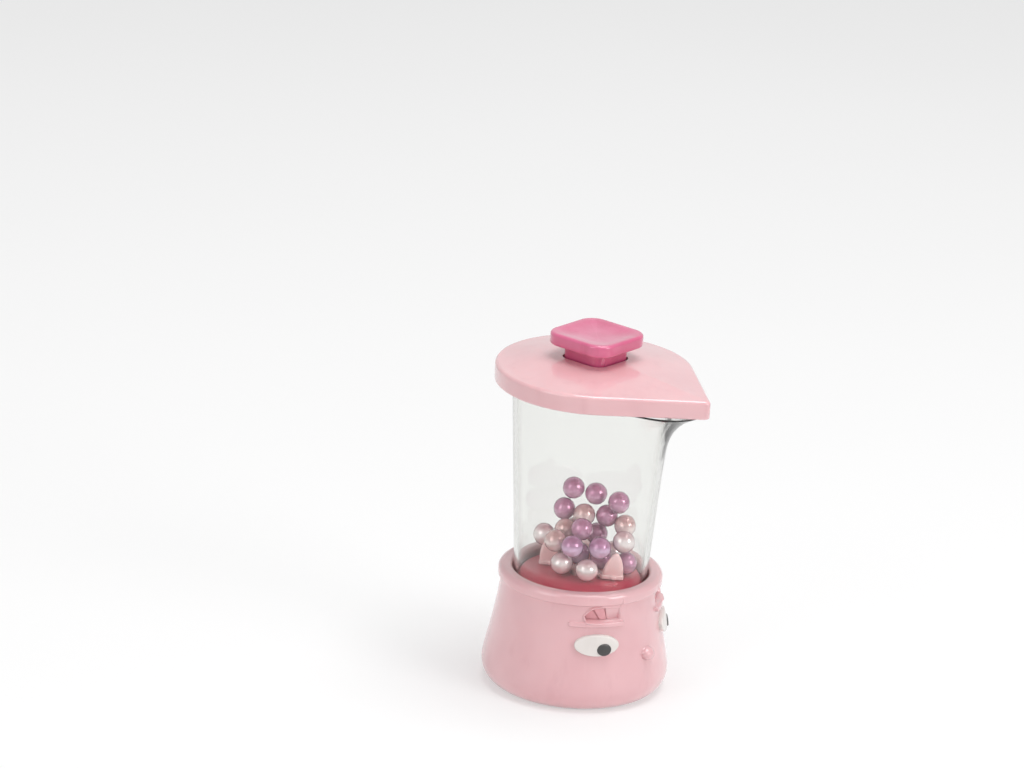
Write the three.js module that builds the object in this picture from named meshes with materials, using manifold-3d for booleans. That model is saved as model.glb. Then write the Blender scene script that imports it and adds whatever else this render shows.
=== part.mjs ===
// A toy blender about 73 mm tall: a pot-shaped base with a face, a clear jar of pearl beads
// with a finned rotor, a drop-shaped lid and a sprung square knob.
// Millimetres, +Z up. The front, with the nose and the spout, is -Y.

import * as THREE from 'three';
import { mergeVertices } from 'three/addons/utils/BufferGeometryUtils.js';
import Module from 'manifold-3d';

const wasm = await Module();
wasm.setup();

// Clearances
const fitGap = 0.3;
const insetGap = 0.15;
const cutOverrun = 0.5;

// Jar
const jarHeight = 38.25;
const jarBottomRadius = 13.4;
const jarFlare = 2.6;
const jarWall = 0.9;
const jarFlangeWidth = 0.6;
const jarFlangeThickness = 1.2;
const spoutLength = 10.5;
const spoutFlareLength = 5.0;
const spoutHalfAngleDeg = 42;

// Base shell
const baseHeight = 24.35;
const shellWall = 1.5;
const lipHeight = 2.45;
const lipOverhang = 0.65;
const shoulderThickness = 1.85;
const bellySpread = 2.9;
const bellyTopSpread = 0.8;
const bellyTopDrop = 8.9;
const bellyLowRise = 2.4;
const widestHeight = 4.1;
const footRound = 3.7;

// Face, each height counted down from the crease under the rim
const faceAngleDeg = 38;
const browDrop = 3.7;
const browLength = 11.3;
const browHeight = 0.95;
const browProud = 0.55;
const windowWidth = 7.3;
const windowHeight = 2.4;
const windowInward = 1.15;
const windowPanelDepth = 0.4;
const eyeDrop = 7.7;
const eyeWidth = 8.9;
const eyeHeight = 4.3;
const eyeProud = 0.9;
const eyeEdge = 0.33;
const eyePocketDepth = 0.6;
const pupilRadius = 1.4;
const pupilAside = 1.45;
const pupilDrop = 0.75;
const pupilProud = 0.12;
const pupilSeatDepth = 0.5;
const noseDrop = 11.1;
const noseRadius = 1.25;
const noseProud = 1.05;

// Screws
const screwShankRadius = 0.6;
const screwHeadRadius = 1.35;
const screwHeadHeight = 0.8;
const coverScrewBite = 3.2;
const rotorScrewBite = 4.0;
const knobScrewBite = 4.0;

// Jar floor
const floorThickness = 1.6;
const floorPlugRise = 2.3;
const floorFlangeThickness = 1.2;
const bossWall = 1.25;
const bossDrop = 4.5;
const hubWall = 1.6;
const hubDrop = 2.9;
const lugRibDepth = 0.35;

// Rotor
const stemRadius = 1.7;
const stemKeyLength = 6.2;
const barHalfWidth = 1.3;
const barThickness = 0.8;
const finThickness = 1.2;
const finSweepDeg = 25;
const rotorAngleDeg = 13;

// Shares of the jar's chamber radius that the rotor and the beads take
const barHalfLengthShare = 0.656;
const finOffsetShare = 0.548;
const finLengthShare = 0.352;
const finHeightShare = 0.448;
const beadPitchShare = 0.368;
const heapAngleDeg = 38;

// Bottom cover
const coverThickness = 1.25;
const coverRecess = 0.25;
const postWall = 0.45;

// Finger dial and thrust washer
const dialRoom = 0.5;
const dialFlangeWidth = 1.0;
const dialFlangeThickness = 1.2;
const dialRecess = 0.5;
const dialRim = 1.0;
const dialDishDepth = 1.2;
const dialGripWidth = 1.9;
const dialBossWall = 0.85;
const dialHubWall = 1.35;
const washerThickness = 0.5;

// Lid
const lidBandHeight = 3.8;
const lidOverhang = 3.6;
const lidTipOverhang = 2.1;
const lidTipRadius = 0.9;
const lidDomeRise = 1.6;
const lidEdgeRound = 0.5;
const lidWall = 1.5;
const lidPlateThickness = 1.4;
const plugHeight = 1.5;
const plugWall = 1.2;
const wellWall = 1.2;
const wellFloorThickness = 1.5;
const wellDepth = 3.2;

// Knob
const knobRise = 6.8;
const knobTravel = 2.0;
const knobOverhang = 2.55;
const knobCorner = 3.6;
const knobCapThickness = 2.5;
const knobEdgeRound = 0.55;
const knobDishDepth = 0.6;
const knobRimWidth = 0.9;
const neckWall = 1.6;
const neckCorner = 2.2;
const capRoof = 2.6;
const knobStemRadius = 1.4;
const knobWasherWidth = 1.2;
const knobWasherThickness = 0.5;

// Spring
const springCoilRadius = 2.6;
const springWireRadius = 0.3;
const springRoom = 0.5;
const springCurls = 6;

// Counts
const baseSegments = 60;
const smallSegments = 24;
const outlineSegments = 64;
const squareSegments = 32;
const footSegments = 5;
const bellySegments = 7;
const browSegments = 10;
const filletSegments = 6;
const beadSegments = 10;
const beadRows = 7;
const bisections = 30;
const keySides = 6;
const curlSteps = 8;
const wireSides = 5;
const postCount = 3;

// Radii that follow from the jar and its neighbours
const jarTopRadius = jarBottomRadius + jarFlare;
const chamberRadius = jarBottomRadius - jarWall;
const spoutReach = jarTopRadius + spoutLength;
const flangeRadius = jarBottomRadius + jarFlangeWidth;
const rimInnerRadius = jarBottomRadius + fitGap;
const openingRadius = flangeRadius + fitGap;
const neckRadius = openingRadius + shellWall;
const lipRadius = neckRadius + lipOverhang;
const widestRadius = neckRadius + bellySpread;
const footRadius = widestRadius - footRound;
const lidRadius = jarTopRadius + lidOverhang;
const lidReach = spoutReach + lidTipOverhang;
const tipAngle = Math.acos((lidRadius - lidTipRadius) / (lidReach - lidTipRadius));

// Sizes of the rotor and the beads in the jar's chamber
const barHalfLength = chamberRadius * barHalfLengthShare;
const finOffset = chamberRadius * finOffsetShare;
const finLength = chamberRadius * finLengthShare;
const finHeight = chamberRadius * finHeightShare;
const beadPitch = chamberRadius * beadPitchShare;
const beadDiameter = beadPitch - fitGap;

// Radii about the screws, the stem and the spring
const screwHoleRadius = screwShankRadius + insetGap;
const screwClearRadius = screwShankRadius + fitGap;
const screwSeatRadius = screwHeadRadius + fitGap;
const bossRadius = screwHoleRadius + bossWall;
const postRadius = screwSeatRadius + postWall;
const floorPlugRadius = chamberRadius - fitGap;
const postCircleRadius = floorPlugRadius - bossRadius;
const dialFlangeRadius = postCircleRadius - postRadius - dialRoom;
const dialRadius = dialFlangeRadius - dialFlangeWidth;
const dialDishRadius = dialRadius - dialRim;
const dialBossRadius = screwSeatRadius + dialBossWall;
const coverHoleRadius = dialRadius + fitGap;
const stemBoreRadius = stemRadius + fitGap;
const hubRadius = stemBoreRadius + hubWall;
const keySocketRadius = stemRadius + insetGap;
const dialHubRadius = keySocketRadius + dialHubWall;
const springChamberRadius = springCoilRadius + springWireRadius + springRoom;
const wellRadius = springChamberRadius + wellWall;
const neckHalf = springChamberRadius + neckWall;
const knobHalf = neckHalf + knobOverhang;
const knobWasherRadius = knobStemRadius + knobWasherWidth;

// Heights in the base, from the bottom up
const coverTop = coverRecess + coverThickness;
const dialFlangeBottom = coverTop + fitGap;
const dialFlangeTop = dialFlangeBottom + dialFlangeThickness;
const dialRoof = dialRecess + dialDishDepth;
const rimCreaseHeight = baseHeight - lipHeight;
const shoulderHeight = baseHeight - shoulderThickness;
const jarFlangeTop = shoulderHeight - fitGap;
const jarFlangeBottom = jarFlangeTop - jarFlangeThickness;
const floorFlangeTop = jarFlangeBottom - fitGap;
const floorFlangeBottom = floorFlangeTop - floorFlangeThickness;
const floorTopHeight = floorFlangeTop + floorPlugRise;
const bossBottomHeight = floorFlangeBottom - bossDrop;
const hubBottomHeight = floorFlangeBottom - hubDrop;
const washerTop = hubBottomHeight - fitGap;
const washerBottom = washerTop - washerThickness;
const dialHubTop = washerBottom - fitGap;
const stemKeyTop = dialHubTop - fitGap;
const stemBottomHeight = stemKeyTop - stemKeyLength;
const rotorBottom = floorTopHeight + fitGap;
const rotorBarTop = rotorBottom + barThickness;
const browCentreHeight = rimCreaseHeight - browDrop;
const eyeCentreHeight = rimCreaseHeight - eyeDrop;
const noseCentreHeight = rimCreaseHeight - noseDrop;

// Heights above the base
const jarTopHeight = baseHeight + jarHeight;
const lidBottomHeight = jarTopHeight + fitGap;
const lidTop = lidBottomHeight + lidBandHeight;
const lidPlateTop = lidBottomHeight + lidPlateThickness;
const wellFloorBottom = lidBottomHeight - wellDepth;
const wellFloorTop = wellFloorBottom + wellFloorThickness;
const knobTopHeight = lidTop + knobRise;
const knobCapBottom = knobTopHeight - knobCapThickness;
const neckBottomHeight = lidPlateTop + knobTravel + fitGap;
const springChamberTop = knobTopHeight - capRoof;
const springLow = wellFloorTop + fitGap;
const springHigh = springChamberTop - fitGap;
const knobWasherTop = wellFloorBottom - fitGap;
const knobWasherBottom = knobWasherTop - knobWasherThickness;
const knobStemBottom = knobWasherTop + insetGap;

const FULL_TURN = 2 * Math.PI;
const radians = (degrees) => THREE.MathUtils.degToRad(degrees);
const posts = Array.from({ length: postCount }, (_, i) => i);
const sides = [1, -1];

// Materials
function plastic(color, roughness) {
  return new THREE.MeshStandardMaterial({ color, roughness, metalness: 0 });
}

function pearl(color) {
  return new THREE.MeshStandardMaterial({ color, roughness: 0.22, metalness: 0.25 });
}

const palePink = plastic(0xf0b4bb, 0.38);
const darkPink = plastic(0xc8275f, 0.3);
const deepPink = plastic(0xb02a4c, 0.35);
const clearPlastic = new THREE.MeshStandardMaterial({
  color: 0xf2f6f4, roughness: 0.05, metalness: 0, transparent: true, opacity: 0.3,
});
const eyeWhite = plastic(0xf2efe9, 0.3);
const pupilBlack = plastic(0x1a1719, 0.3);
const steel = new THREE.MeshStandardMaterial({ color: 0xb9bcc0, roughness: 0.3, metalness: 1 });
const nylon = plastic(0xe9e6dd, 0.5);
const pearls = {
  purple: pearl(0x8c4f8e),
  lilac: pearl(0xa77bc4),
  blush: pearl(0xd9b3b6),
  white: pearl(0xe9dfe2),
};

// Makes a geometry one closed body: shared corners, no flat triangles, faces out
function clean(source) {
  const bare = new THREE.BufferGeometry();
  bare.setAttribute('position', source.getAttribute('position').clone());
  if (source.index) bare.setIndex(source.index.clone());
  const merged = mergeVertices(bare);
  const corners = [];
  const index = merged.index.array;
  for (let i = 0; i < index.length; i += 3) {
    const [a, b, c] = [index[i], index[i + 1], index[i + 2]];
    if (a !== b && b !== c && c !== a) corners.push(a, b, c);
  }
  merged.setIndex(corners);
  return signedVolume(merged) < 0 ? flipped(merged) : merged;
}

function signedVolume(geometry) {
  const place = geometry.getAttribute('position');
  const index = geometry.index.array;
  const [a, b, c] = [new THREE.Vector3(), new THREE.Vector3(), new THREE.Vector3()];
  let total = 0;
  for (let i = 0; i < index.length; i += 3) {
    a.fromBufferAttribute(place, index[i]);
    b.fromBufferAttribute(place, index[i + 1]);
    c.fromBufferAttribute(place, index[i + 2]);
    total += a.dot(b.cross(c));
  }
  return total;
}

function flipped(geometry) {
  const index = Array.from(geometry.index.array);
  for (let i = 0; i < index.length; i += 3) {
    [index[i], index[i + 1]] = [index[i + 1], index[i]];
  }
  geometry.setIndex(index);
  return geometry;
}

// Booleans
function toSolid(geometry) {
  const vertProperties = Float32Array.from(geometry.getAttribute('position').array);
  const triVerts = Uint32Array.from(geometry.index.array);
  return new wasm.Manifold(new wasm.Mesh({ numProp: 3, vertProperties, triVerts }));
}

function toGeometry(solid) {
  const mesh = solid.getMesh();
  const geometry = new THREE.BufferGeometry();
  geometry.setAttribute('position', new THREE.Float32BufferAttribute(mesh.vertProperties, 3));
  geometry.setIndex(Array.from(mesh.triVerts));
  return clean(geometry);
}

function join(...geometries) {
  return toGeometry(geometries.map(toSolid).reduce((whole, next) => whole.add(next)));
}

function cut(body, ...tools) {
  return toGeometry(tools.map(toSolid).reduce((whole, tool) => whole.subtract(tool), toSolid(body)));
}

// Revolves [radius, height] points about the Z axis; a ring's profile closes on itself
function lathe(profile, segments = smallSegments) {
  const points = profile.map(([radius, height]) => new THREE.Vector2(radius, height));
  const onAxis = profile[0][0] === 0;
  if (!onAxis) points.push(points[0].clone());
  return clean(new THREE.LatheGeometry(points, segments).rotateX(Math.PI / 2));
}

function rod(radius, low, high, segments = smallSegments) {
  return lathe([[0, low], [radius, low], [radius, high], [0, high]], segments);
}

function ring(inner, outer, low, high, segments = smallSegments) {
  return lathe([[inner, low], [outer, low], [outer, high], [inner, high]], segments);
}

// Skins a list of rings with equal counts; open ends get a fan, a loop joins its ends
function loft(rings, loop = false) {
  const count = rings[0].length;
  const places = rings.flat();
  const corners = [];
  const spans = loop ? rings.length : rings.length - 1;
  for (let i = 0; i < spans; i += 1) {
    const low = i * count;
    const high = ((i + 1) % rings.length) * count;
    for (let j = 0; j < count; j += 1) {
      const k = (j + 1) % count;
      corners.push(low + j, low + k, high + k, low + j, high + k, high + j);
    }
  }
  if (!loop) {
    addFan(places, corners, 0, count, true);
    addFan(places, corners, (rings.length - 1) * count, count, false);
  }
  const geometry = new THREE.BufferGeometry().setFromPoints(places);
  geometry.setIndex(corners);
  return clean(geometry);
}

function addFan(places, corners, start, count, reverse) {
  const middle = new THREE.Vector3();
  for (let j = 0; j < count; j += 1) middle.addScaledVector(places[start + j], 1 / count);
  places.push(middle);
  const hub = places.length - 1;
  for (let j = 0; j < count; j += 1) {
    const k = (j + 1) % count;
    if (reverse) corners.push(start + k, start + j, hub);
    else corners.push(start + j, start + k, hub);
  }
}

// Angles from the front, closer together near the lid's tip
const tipCrowdingShare = 0.7;
const outlineAngles = Array.from({ length: outlineSegments }, (_, i) => {
  const turn = (FULL_TURN * i) / outlineSegments;
  return turn - tipCrowdingShare * Math.sin(turn);
});

// A ring about the axis from a radius for each angle
function polarRing(radiusAt, height) {
  return outlineAngles.map((angle) => {
    const radius = radiusAt(angle);
    return new THREE.Vector3(radius * Math.sin(angle), -radius * Math.cos(angle), height);
  });
}

// Radius of the lid's drop outline, drawn in by an inset
function dropRadius(angle, inset = 0) {
  const turn = Math.abs(Math.atan2(Math.sin(angle), Math.cos(angle)));
  const radius = lidRadius - inset;
  const tip = lidTipRadius;
  const tipCentre = (radius - tip) / Math.cos(tipAngle);
  const tipTurn = Math.atan2(tip * Math.sin(tipAngle), tipCentre + tip * Math.cos(tipAngle));
  if (turn < tipTurn) {
    return tipCentre * Math.cos(turn) + Math.sqrt(tip ** 2 - (tipCentre * Math.sin(turn)) ** 2);
  }
  return turn < tipAngle ? radius / Math.cos(turn - tipAngle) : radius;
}

// Radius of a rounded square's outline
function squareRadius(angle, half, corner) {
  const quarter = Math.PI / 2;
  const turn = Math.abs(((angle % quarter) + quarter) % quarter - quarter / 2);
  const fromCorner = quarter / 2 - turn;
  const centre = half - corner;
  const along = half / Math.cos(fromCorner);
  const across = half * Math.tan(fromCorner);
  if (across <= centre) return along;
  const reach = centre * Math.SQRT2;
  return reach * Math.cos(turn) + Math.sqrt(corner ** 2 - (reach * Math.sin(turn)) ** 2);
}

function squareRing(half, corner, height) {
  return Array.from({ length: squareSegments }, (_, i) => {
    const angle = (FULL_TURN * (i + 1 / 2)) / squareSegments;
    const radius = squareRadius(angle, half, corner);
    return new THREE.Vector3(radius * Math.sin(angle), -radius * Math.cos(angle), height);
  });
}

// Base shell

const bellyCurve = new THREE.CubicBezierCurve(
  new THREE.Vector2(widestRadius, widestHeight),
  new THREE.Vector2(widestRadius, widestHeight + bellyLowRise),
  new THREE.Vector2(neckRadius + bellyTopSpread, rimCreaseHeight - bellyTopDrop),
  new THREE.Vector2(neckRadius, rimCreaseHeight),
);

// Outer radius of the belly at a height between its widest ring and the rim's crease
function wallRadius(height) {
  let low = 0;
  let high = 1;
  for (let i = 0; i < bisections; i += 1) {
    const middle = (low + high) / 2;
    if (bellyCurve.getPoint(middle).y < height) low = middle;
    else high = middle;
  }
  return bellyCurve.getPoint(low).x;
}

function footArc() {
  return Array.from({ length: footSegments }, (_, i) => {
    const turn = (Math.PI / 2) * (i / footSegments);
    const radius = footRadius + footRound * Math.sin(turn);
    return [radius, widestHeight * (1 - Math.cos(turn))];
  });
}

const lipOutsideShares = [[0.7, 0.12], [1, 0.35], [1, 0.65], [0.75, 0.9], [0, 1]];
const rimInsideShares = [[0.25, 1], [0.08, 0.93], [0, 0.75]];

function rimProfile() {
  const outside = lipOutsideShares.map(([across, up]) => [
    neckRadius + lipOverhang * across,
    rimCreaseHeight + lipHeight * up,
  ]);
  const inside = rimInsideShares.map(([across, up]) => [
    rimInnerRadius + (neckRadius - rimInnerRadius) * across,
    shoulderHeight + shoulderThickness * up,
  ]);
  return [...outside, ...inside];
}

const innerHeightShares = [1, 0.7, 0.4, 0.12, 0];

function baseShellProfile() {
  const belly = bellyCurve.getPoints(bellySegments).map((point) => [point.x, point.y]);
  const innerRadius = (height) => wallRadius(height) - shellWall;
  const innerBelly = innerHeightShares.map((share) => {
    const height = widestHeight + (shoulderHeight - widestHeight) * share;
    return [innerRadius(Math.min(height, rimCreaseHeight)), height];
  });
  return [
    [openingRadius, 0],
    ...footArc(),
    ...belly,
    ...rimProfile(),
    [rimInnerRadius, shoulderHeight],
    ...innerBelly,
    [openingRadius, coverTop + fitGap],
  ];
}

// A point of the face: across in millimetres along the wall, up from the bottom, out from the wall
function facePoint(side, across, height, out) {
  const wall = wallRadius(height);
  const angle = side * (radians(faceAngleDeg) - across / wall);
  const radius = wall + out;
  return new THREE.Vector3(radius * Math.sin(angle), -radius * Math.cos(angle), height);
}

function ovalRing(side, centre, half, out) {
  return Array.from({ length: smallSegments }, (_, i) => {
    const turn = (FULL_TURN * i) / smallSegments;
    const across = centre[0] + half[0] * Math.cos(turn);
    const height = centre[1] + half[1] * Math.sin(turn);
    return facePoint(side, across, height, out);
  });
}

// An oval pad that follows the wall, from a depth below it to a height above it
function ovalPad(side, centre, half, low, high, edge) {
  const core = half.map((size) => size / 2);
  const narrowed = half.map((size) => size - edge);
  return loft([
    ovalRing(side, centre, core, low),
    ovalRing(side, centre, half, low),
    ovalRing(side, centre, half, high - edge),
    ovalRing(side, centre, narrowed, high),
    ovalRing(side, centre, core, high + edge / 2),
  ]);
}

const eyeCentre = [0, eyeCentreHeight];
const eyeHalf = [eyeWidth / 2, eyeHeight / 2];

// Both eyes look down and towards +X
function pupilCentre(side) {
  return [-side * pupilAside, eyeCentreHeight - pupilDrop];
}

function eyePocket(side) {
  const half = eyeHalf.map((size) => size + insetGap);
  return ovalPad(side, eyeCentre, half, -eyePocketDepth - insetGap, eyeProud, eyeEdge);
}

function eyeWhitePad(side) {
  const pad = ovalPad(side, eyeCentre, eyeHalf, -eyePocketDepth, eyeProud, eyeEdge);
  const seatHalf = [pupilRadius + insetGap, pupilRadius + insetGap];
  const seatLow = eyeProud - pupilSeatDepth - insetGap;
  const seat = ovalPad(side, pupilCentre(side), seatHalf, seatLow, eyeProud + cutOverrun, 0);
  return cut(pad, seat);
}

function pupilPad(side) {
  const half = [pupilRadius, pupilRadius];
  const high = eyeProud + eyeEdge / 2 + pupilProud;
  return ovalPad(side, pupilCentre(side), half, eyeProud - pupilSeatDepth, high, pupilProud);
}

const browSectionShares = [[-0.5, 0], [-0.5, 0.5], [-0.25, 1], [0.25, 1], [0.5, 0.5], [0.5, 0]];

const browEndShares = [0.55, 0.9];

function browBar(side) {
  const rings = Array.from({ length: browSegments + 1 }, (_, i) => {
    const fromEnd = Math.min(i, browSegments - i);
    const swell = fromEnd < browEndShares.length ? browEndShares[fromEnd] : 1;
    const across = browLength * (i / browSegments - 1 / 2);
    return browSectionShares.map(([up, out]) => {
      const height = browCentreHeight + browHeight * up * swell;
      const proud = out > 0 ? browProud * out * swell : -shellWall / 2;
      return facePoint(side, across, height, proud);
    });
  });
  return loft(rings);
}

// The latch window's outline: a flat sill, a square inner end and a curved outer end
const windowShares = [[-0.5, 0], [-0.42, 0.4], [-0.3, 0.72], [-0.14, 0.93], [0.05, 1], [0.5, 1], [0.5, 0]];
const windowOpenShare = 0.1;

function windowPrism(side, shares, low, high) {
  const sill = browCentreHeight + browHeight / 2 + insetGap;
  const outlineAt = (out) => shares.map(([across, up]) => (
    facePoint(side, windowInward + windowWidth * across, sill + windowHeight * up, out)
  ));
  return loft([outlineAt(low), outlineAt(high)]);
}

function openWindowShares() {
  return windowShares.map(([across, up]) => [Math.min(across, windowOpenShare), up]);
}

function latchWindow(side) {
  return windowPrism(side, openWindowShares(), -shellWall - cutOverrun, browProud + cutOverrun);
}

function windowPanel(side) {
  return windowPrism(side, windowShares, -windowPanelDepth, browProud + cutOverrun);
}

const noseProfileShares = [[0, -1], [1, -1], [1, 0.35], [0.8, 0.75], [0.45, 0.95], [0, 1]];

function noseBump() {
  const profile = noseProfileShares.map(([across, up]) => [noseRadius * across, noseProud * up]);
  const bump = lathe(profile, smallSegments / 2);
  bump.rotateX(Math.PI / 2);
  bump.translate(0, -wallRadius(noseCentreHeight), noseCentreHeight);
  return bump;
}

function baseShell() {
  const shell = lathe(baseShellProfile(), baseSegments);
  const faced = join(shell, browBar(1), browBar(-1), noseBump());
  return cut(faced, ...sides.map(eyePocket), ...sides.map(windowPanel), ...sides.map(latchWindow));
}

// Jar

function spoutShape(angle) {
  const turn = Math.abs(Math.atan2(Math.sin(angle), Math.cos(angle)));
  const share = Math.min(turn / radians(spoutHalfAngleDeg), 1);
  return Math.cos((share * Math.PI) / 2) ** 2;
}

function jarRadius(angle, height) {
  const round = jarBottomRadius + (jarFlare * (height - baseHeight)) / jarHeight;
  const flare = Math.exp((height - jarTopHeight) / spoutFlareLength);
  return round + spoutLength * flare * spoutShape(angle);
}

const jarRiseShares = [1, 0.97, 0.93, 0.87, 0.76, 0.5, 0];

// The jar's rings from the top down, drawn in by an inset
function jarRings(inset) {
  return jarRiseShares.map((share) => {
    const height = baseHeight + jarHeight * share;
    return polarRing((angle) => jarRadius(angle, height) - inset, height);
  });
}

function jarBody() {
  return loft([
    ...jarRings(jarWall).reverse(),
    ...jarRings(0),
    polarRing(() => jarBottomRadius, jarFlangeTop),
    polarRing(() => flangeRadius, jarFlangeTop),
    polarRing(() => flangeRadius, jarFlangeBottom),
    polarRing(() => chamberRadius, jarFlangeBottom),
  ], true);
}

// Jar floor

function onPostCircle(geometry, index) {
  const angle = radians(rotorAngleDeg) + (FULL_TURN * index) / postCount;
  geometry.translate(postCircleRadius * Math.sin(angle), postCircleRadius * Math.cos(angle), 0);
  return geometry;
}

// A snap lug with two slanted ribs that sits in the open part of a latch window
const lugCentreShares = [-0.2, 0.42];
const lugScaleShare = 0.74;
const lugRibShares = [
  [[-0.3, 0.14], [-0.24, 0.14], [-0.17, 0.66], [-0.23, 0.66]],
  [[-0.12, 0.14], [-0.06, 0.14], [0.01, 0.66], [-0.05, 0.66]],
];

function latchLug(side) {
  const lowOut = -2 * shellWall;
  const faceOut = -shellWall / 2;
  const shares = openWindowShares().map((share) => share.map((value, i) => (
    lugCentreShares[i] + (value - lugCentreShares[i]) * lugScaleShare
  )));
  const ribs = lugRibShares.map((rib) => windowPrism(side, rib, lowOut / 2, faceOut + lugRibDepth));
  return join(windowPrism(side, shares, lowOut, faceOut), ...ribs);
}

function jarFloor() {
  const roof = floorTopHeight - floorThickness;
  const skirtInner = floorPlugRadius - floorThickness;
  const dish = lathe([
    [0, floorTopHeight],
    [floorPlugRadius, floorTopHeight],
    [floorPlugRadius, floorFlangeTop],
    [flangeRadius, floorFlangeTop],
    [flangeRadius, floorFlangeBottom],
    [skirtInner, floorFlangeBottom],
    [skirtInner, roof],
    [0, roof],
  ], baseSegments);
  const overlap = floorThickness / 2;
  const hub = rod(hubRadius, hubBottomHeight, roof + overlap);
  const bosses = posts.map((i) => onPostCircle(rod(bossRadius, bossBottomHeight, roof + overlap), i));
  const holeLow = bossBottomHeight - cutOverrun;
  const holes = posts.map((i) => onPostCircle(rod(screwHoleRadius, holeLow, roof), i));
  const bore = rod(stemBoreRadius, hubBottomHeight - cutOverrun, floorTopHeight + cutOverrun);
  return cut(join(dish, hub, ...bosses, latchLug(1), latchLug(-1)), ...holes, bore);
}

// Rotor

function extrude(shape, depth) {
  return new THREE.ExtrudeGeometry(shape, { depth, bevelEnabled: false, curveSegments: filletSegments });
}

const finShares = {
  innerFoot: [-0.5, 0],
  outerFoot: [0.5, 0],
  outerBend: [0.56, 0.8],
  tip: [0.3, 1],
  tipBend: [0.02, 1.02],
  innerBend: [-0.3, 0.5],
};

function finShape() {
  const at = ([across, up]) => [finLength * across, finHeight * up];
  const shape = new THREE.Shape();
  shape.moveTo(...at(finShares.innerFoot));
  shape.lineTo(...at(finShares.outerFoot));
  shape.quadraticCurveTo(...at(finShares.outerBend), ...at(finShares.tip));
  shape.bezierCurveTo(...at(finShares.tipBend), ...at(finShares.innerBend), ...at(finShares.innerFoot));
  return shape;
}

function fin(index) {
  const blade = extrude(finShape(), finThickness);
  blade.translate(0, 0, -finThickness / 2);
  blade.rotateX(Math.PI / 2);
  blade.rotateZ(radians(finSweepDeg));
  blade.translate(finOffset, 0, rotorBarTop - barThickness / 2);
  blade.rotateZ(Math.PI * index);
  return clean(blade);
}

function rotorBar() {
  const shape = new THREE.Shape();
  const straight = barHalfLength - barHalfWidth;
  shape.moveTo(-straight, -barHalfWidth);
  shape.lineTo(straight, -barHalfWidth);
  shape.absarc(straight, 0, barHalfWidth, -Math.PI / 2, Math.PI / 2);
  shape.lineTo(-straight, barHalfWidth);
  shape.absarc(-straight, 0, barHalfWidth, Math.PI / 2, (3 * Math.PI) / 2);
  const bar = extrude(shape, barThickness);
  bar.translate(0, 0, rotorBottom);
  return clean(bar);
}

const rotorTurn = radians(rotorAngleDeg) - Math.PI / 2;

function rotorBody() {
  const stem = rod(stemRadius, stemKeyTop - cutOverrun, rotorBarTop - barThickness / 2);
  const key = rod(stemRadius, stemBottomHeight, stemKeyTop, keySides);
  const coreTop = stemBottomHeight + rotorScrewBite + fitGap;
  const core = rod(screwHoleRadius, stemBottomHeight - cutOverrun, coreTop);
  const whole = cut(join(rotorBar(), fin(0), fin(1), stem, key), core);
  whole.rotateZ(rotorTurn);
  return whole;
}

// Beads: across, away and up in bead pitches, in a heap that leans on the jar's far side
const heapShares = [
  ['white', 0.26, -1.07, 0.53],
  ['white', -0.83, -0.43, 0.53],
  ['lilac', -0.43, -0.7, 1.43],
  ['lilac', 0.76, -0.48, 1.37],
  ['purple', 1.96, 0.09, 0.53],
  ['white', 1.79, 0, 1.54],
  ['blush', 1.83, 1.02, 1.91],
  ['purple', 0.61, 1.67, 1.22],
  ['purple', -0.06, 0.35, 1.87],
  ['blush', 0, 1.42, 2.15],
  ['blush', -0.78, 0.98, 1.57],
  ['blush', -1.17, 0.05, 1.37],
  ['white', -1.72, 1.3, 1.17],
  ['purple', 1, 1.43, 2.17],
  ['purple', -0.9, 1.85, 2.22],
  ['purple', -0.54, 2, 3.15],
  ['purple', 0.46, 1.85, 3],
  ['purple', 1.48, 1.02, 2.96],
  ['blush', -0.35, 2, 1.28],
  ['purple', 0.85, 0.41, 0.57],
  ['lilac', -0.13, 0.85, 0.57],
  ['white', 1.35, 1.33, 0.53],
  ['blush', -0.96, 1.61, 0.53],
];

function beadPlace([, across, away, up]) {
  const place = new THREE.Vector3(across, away, up).multiplyScalar(beadPitch);
  place.applyAxisAngle(new THREE.Vector3(0, 0, 1), radians(heapAngleDeg) - Math.PI / 2);
  place.z += floorTopHeight;
  return place;
}

function beadGeometry() {
  return clean(new THREE.SphereGeometry(beadDiameter / 2, beadSegments, beadRows).rotateX(Math.PI / 2));
}

// Screws

const recessSpanShare = 1.1;
const recessSlotShare = 0.28;

function crossRecess(low) {
  const span = screwHeadRadius * recessSpanShare;
  const slot = screwHeadRadius * recessSlotShare;
  return [[span, slot], [slot, span]].map(([x, y]) => {
    const bar = new THREE.BoxGeometry(x, y, screwHeadHeight);
    bar.translate(0, 0, low);
    return clean(bar);
  });
}

const screwHeadShares = [[0.75, 0], [1, 0.45], [1, 1]];

// A pan head screw that points up, with its head's lower face at a height
function screw(low, length) {
  const headTop = low + screwHeadHeight;
  const tip = headTop + length;
  const head = screwHeadShares.map(([out, up]) => [screwHeadRadius * out, low + screwHeadHeight * up]);
  const body = lathe([
    [0, low],
    ...head,
    [screwShankRadius, headTop],
    [screwShankRadius, tip - screwShankRadius],
    [0, tip],
  ], smallSegments / 2);
  return cut(body, ...crossRecess(low));
}

const coverScrewLow = coverRecess + fitGap;

function coverScrew(index) {
  const length = bossBottomHeight + coverScrewBite - coverScrewLow - screwHeadHeight;
  return onPostCircle(screw(coverScrewLow, length), index);
}

function rotorScrew() {
  const length = stemBottomHeight + rotorScrewBite - dialRecess - fitGap - screwHeadHeight;
  return screw(dialRecess + fitGap, length);
}

// Bottom cover

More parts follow.
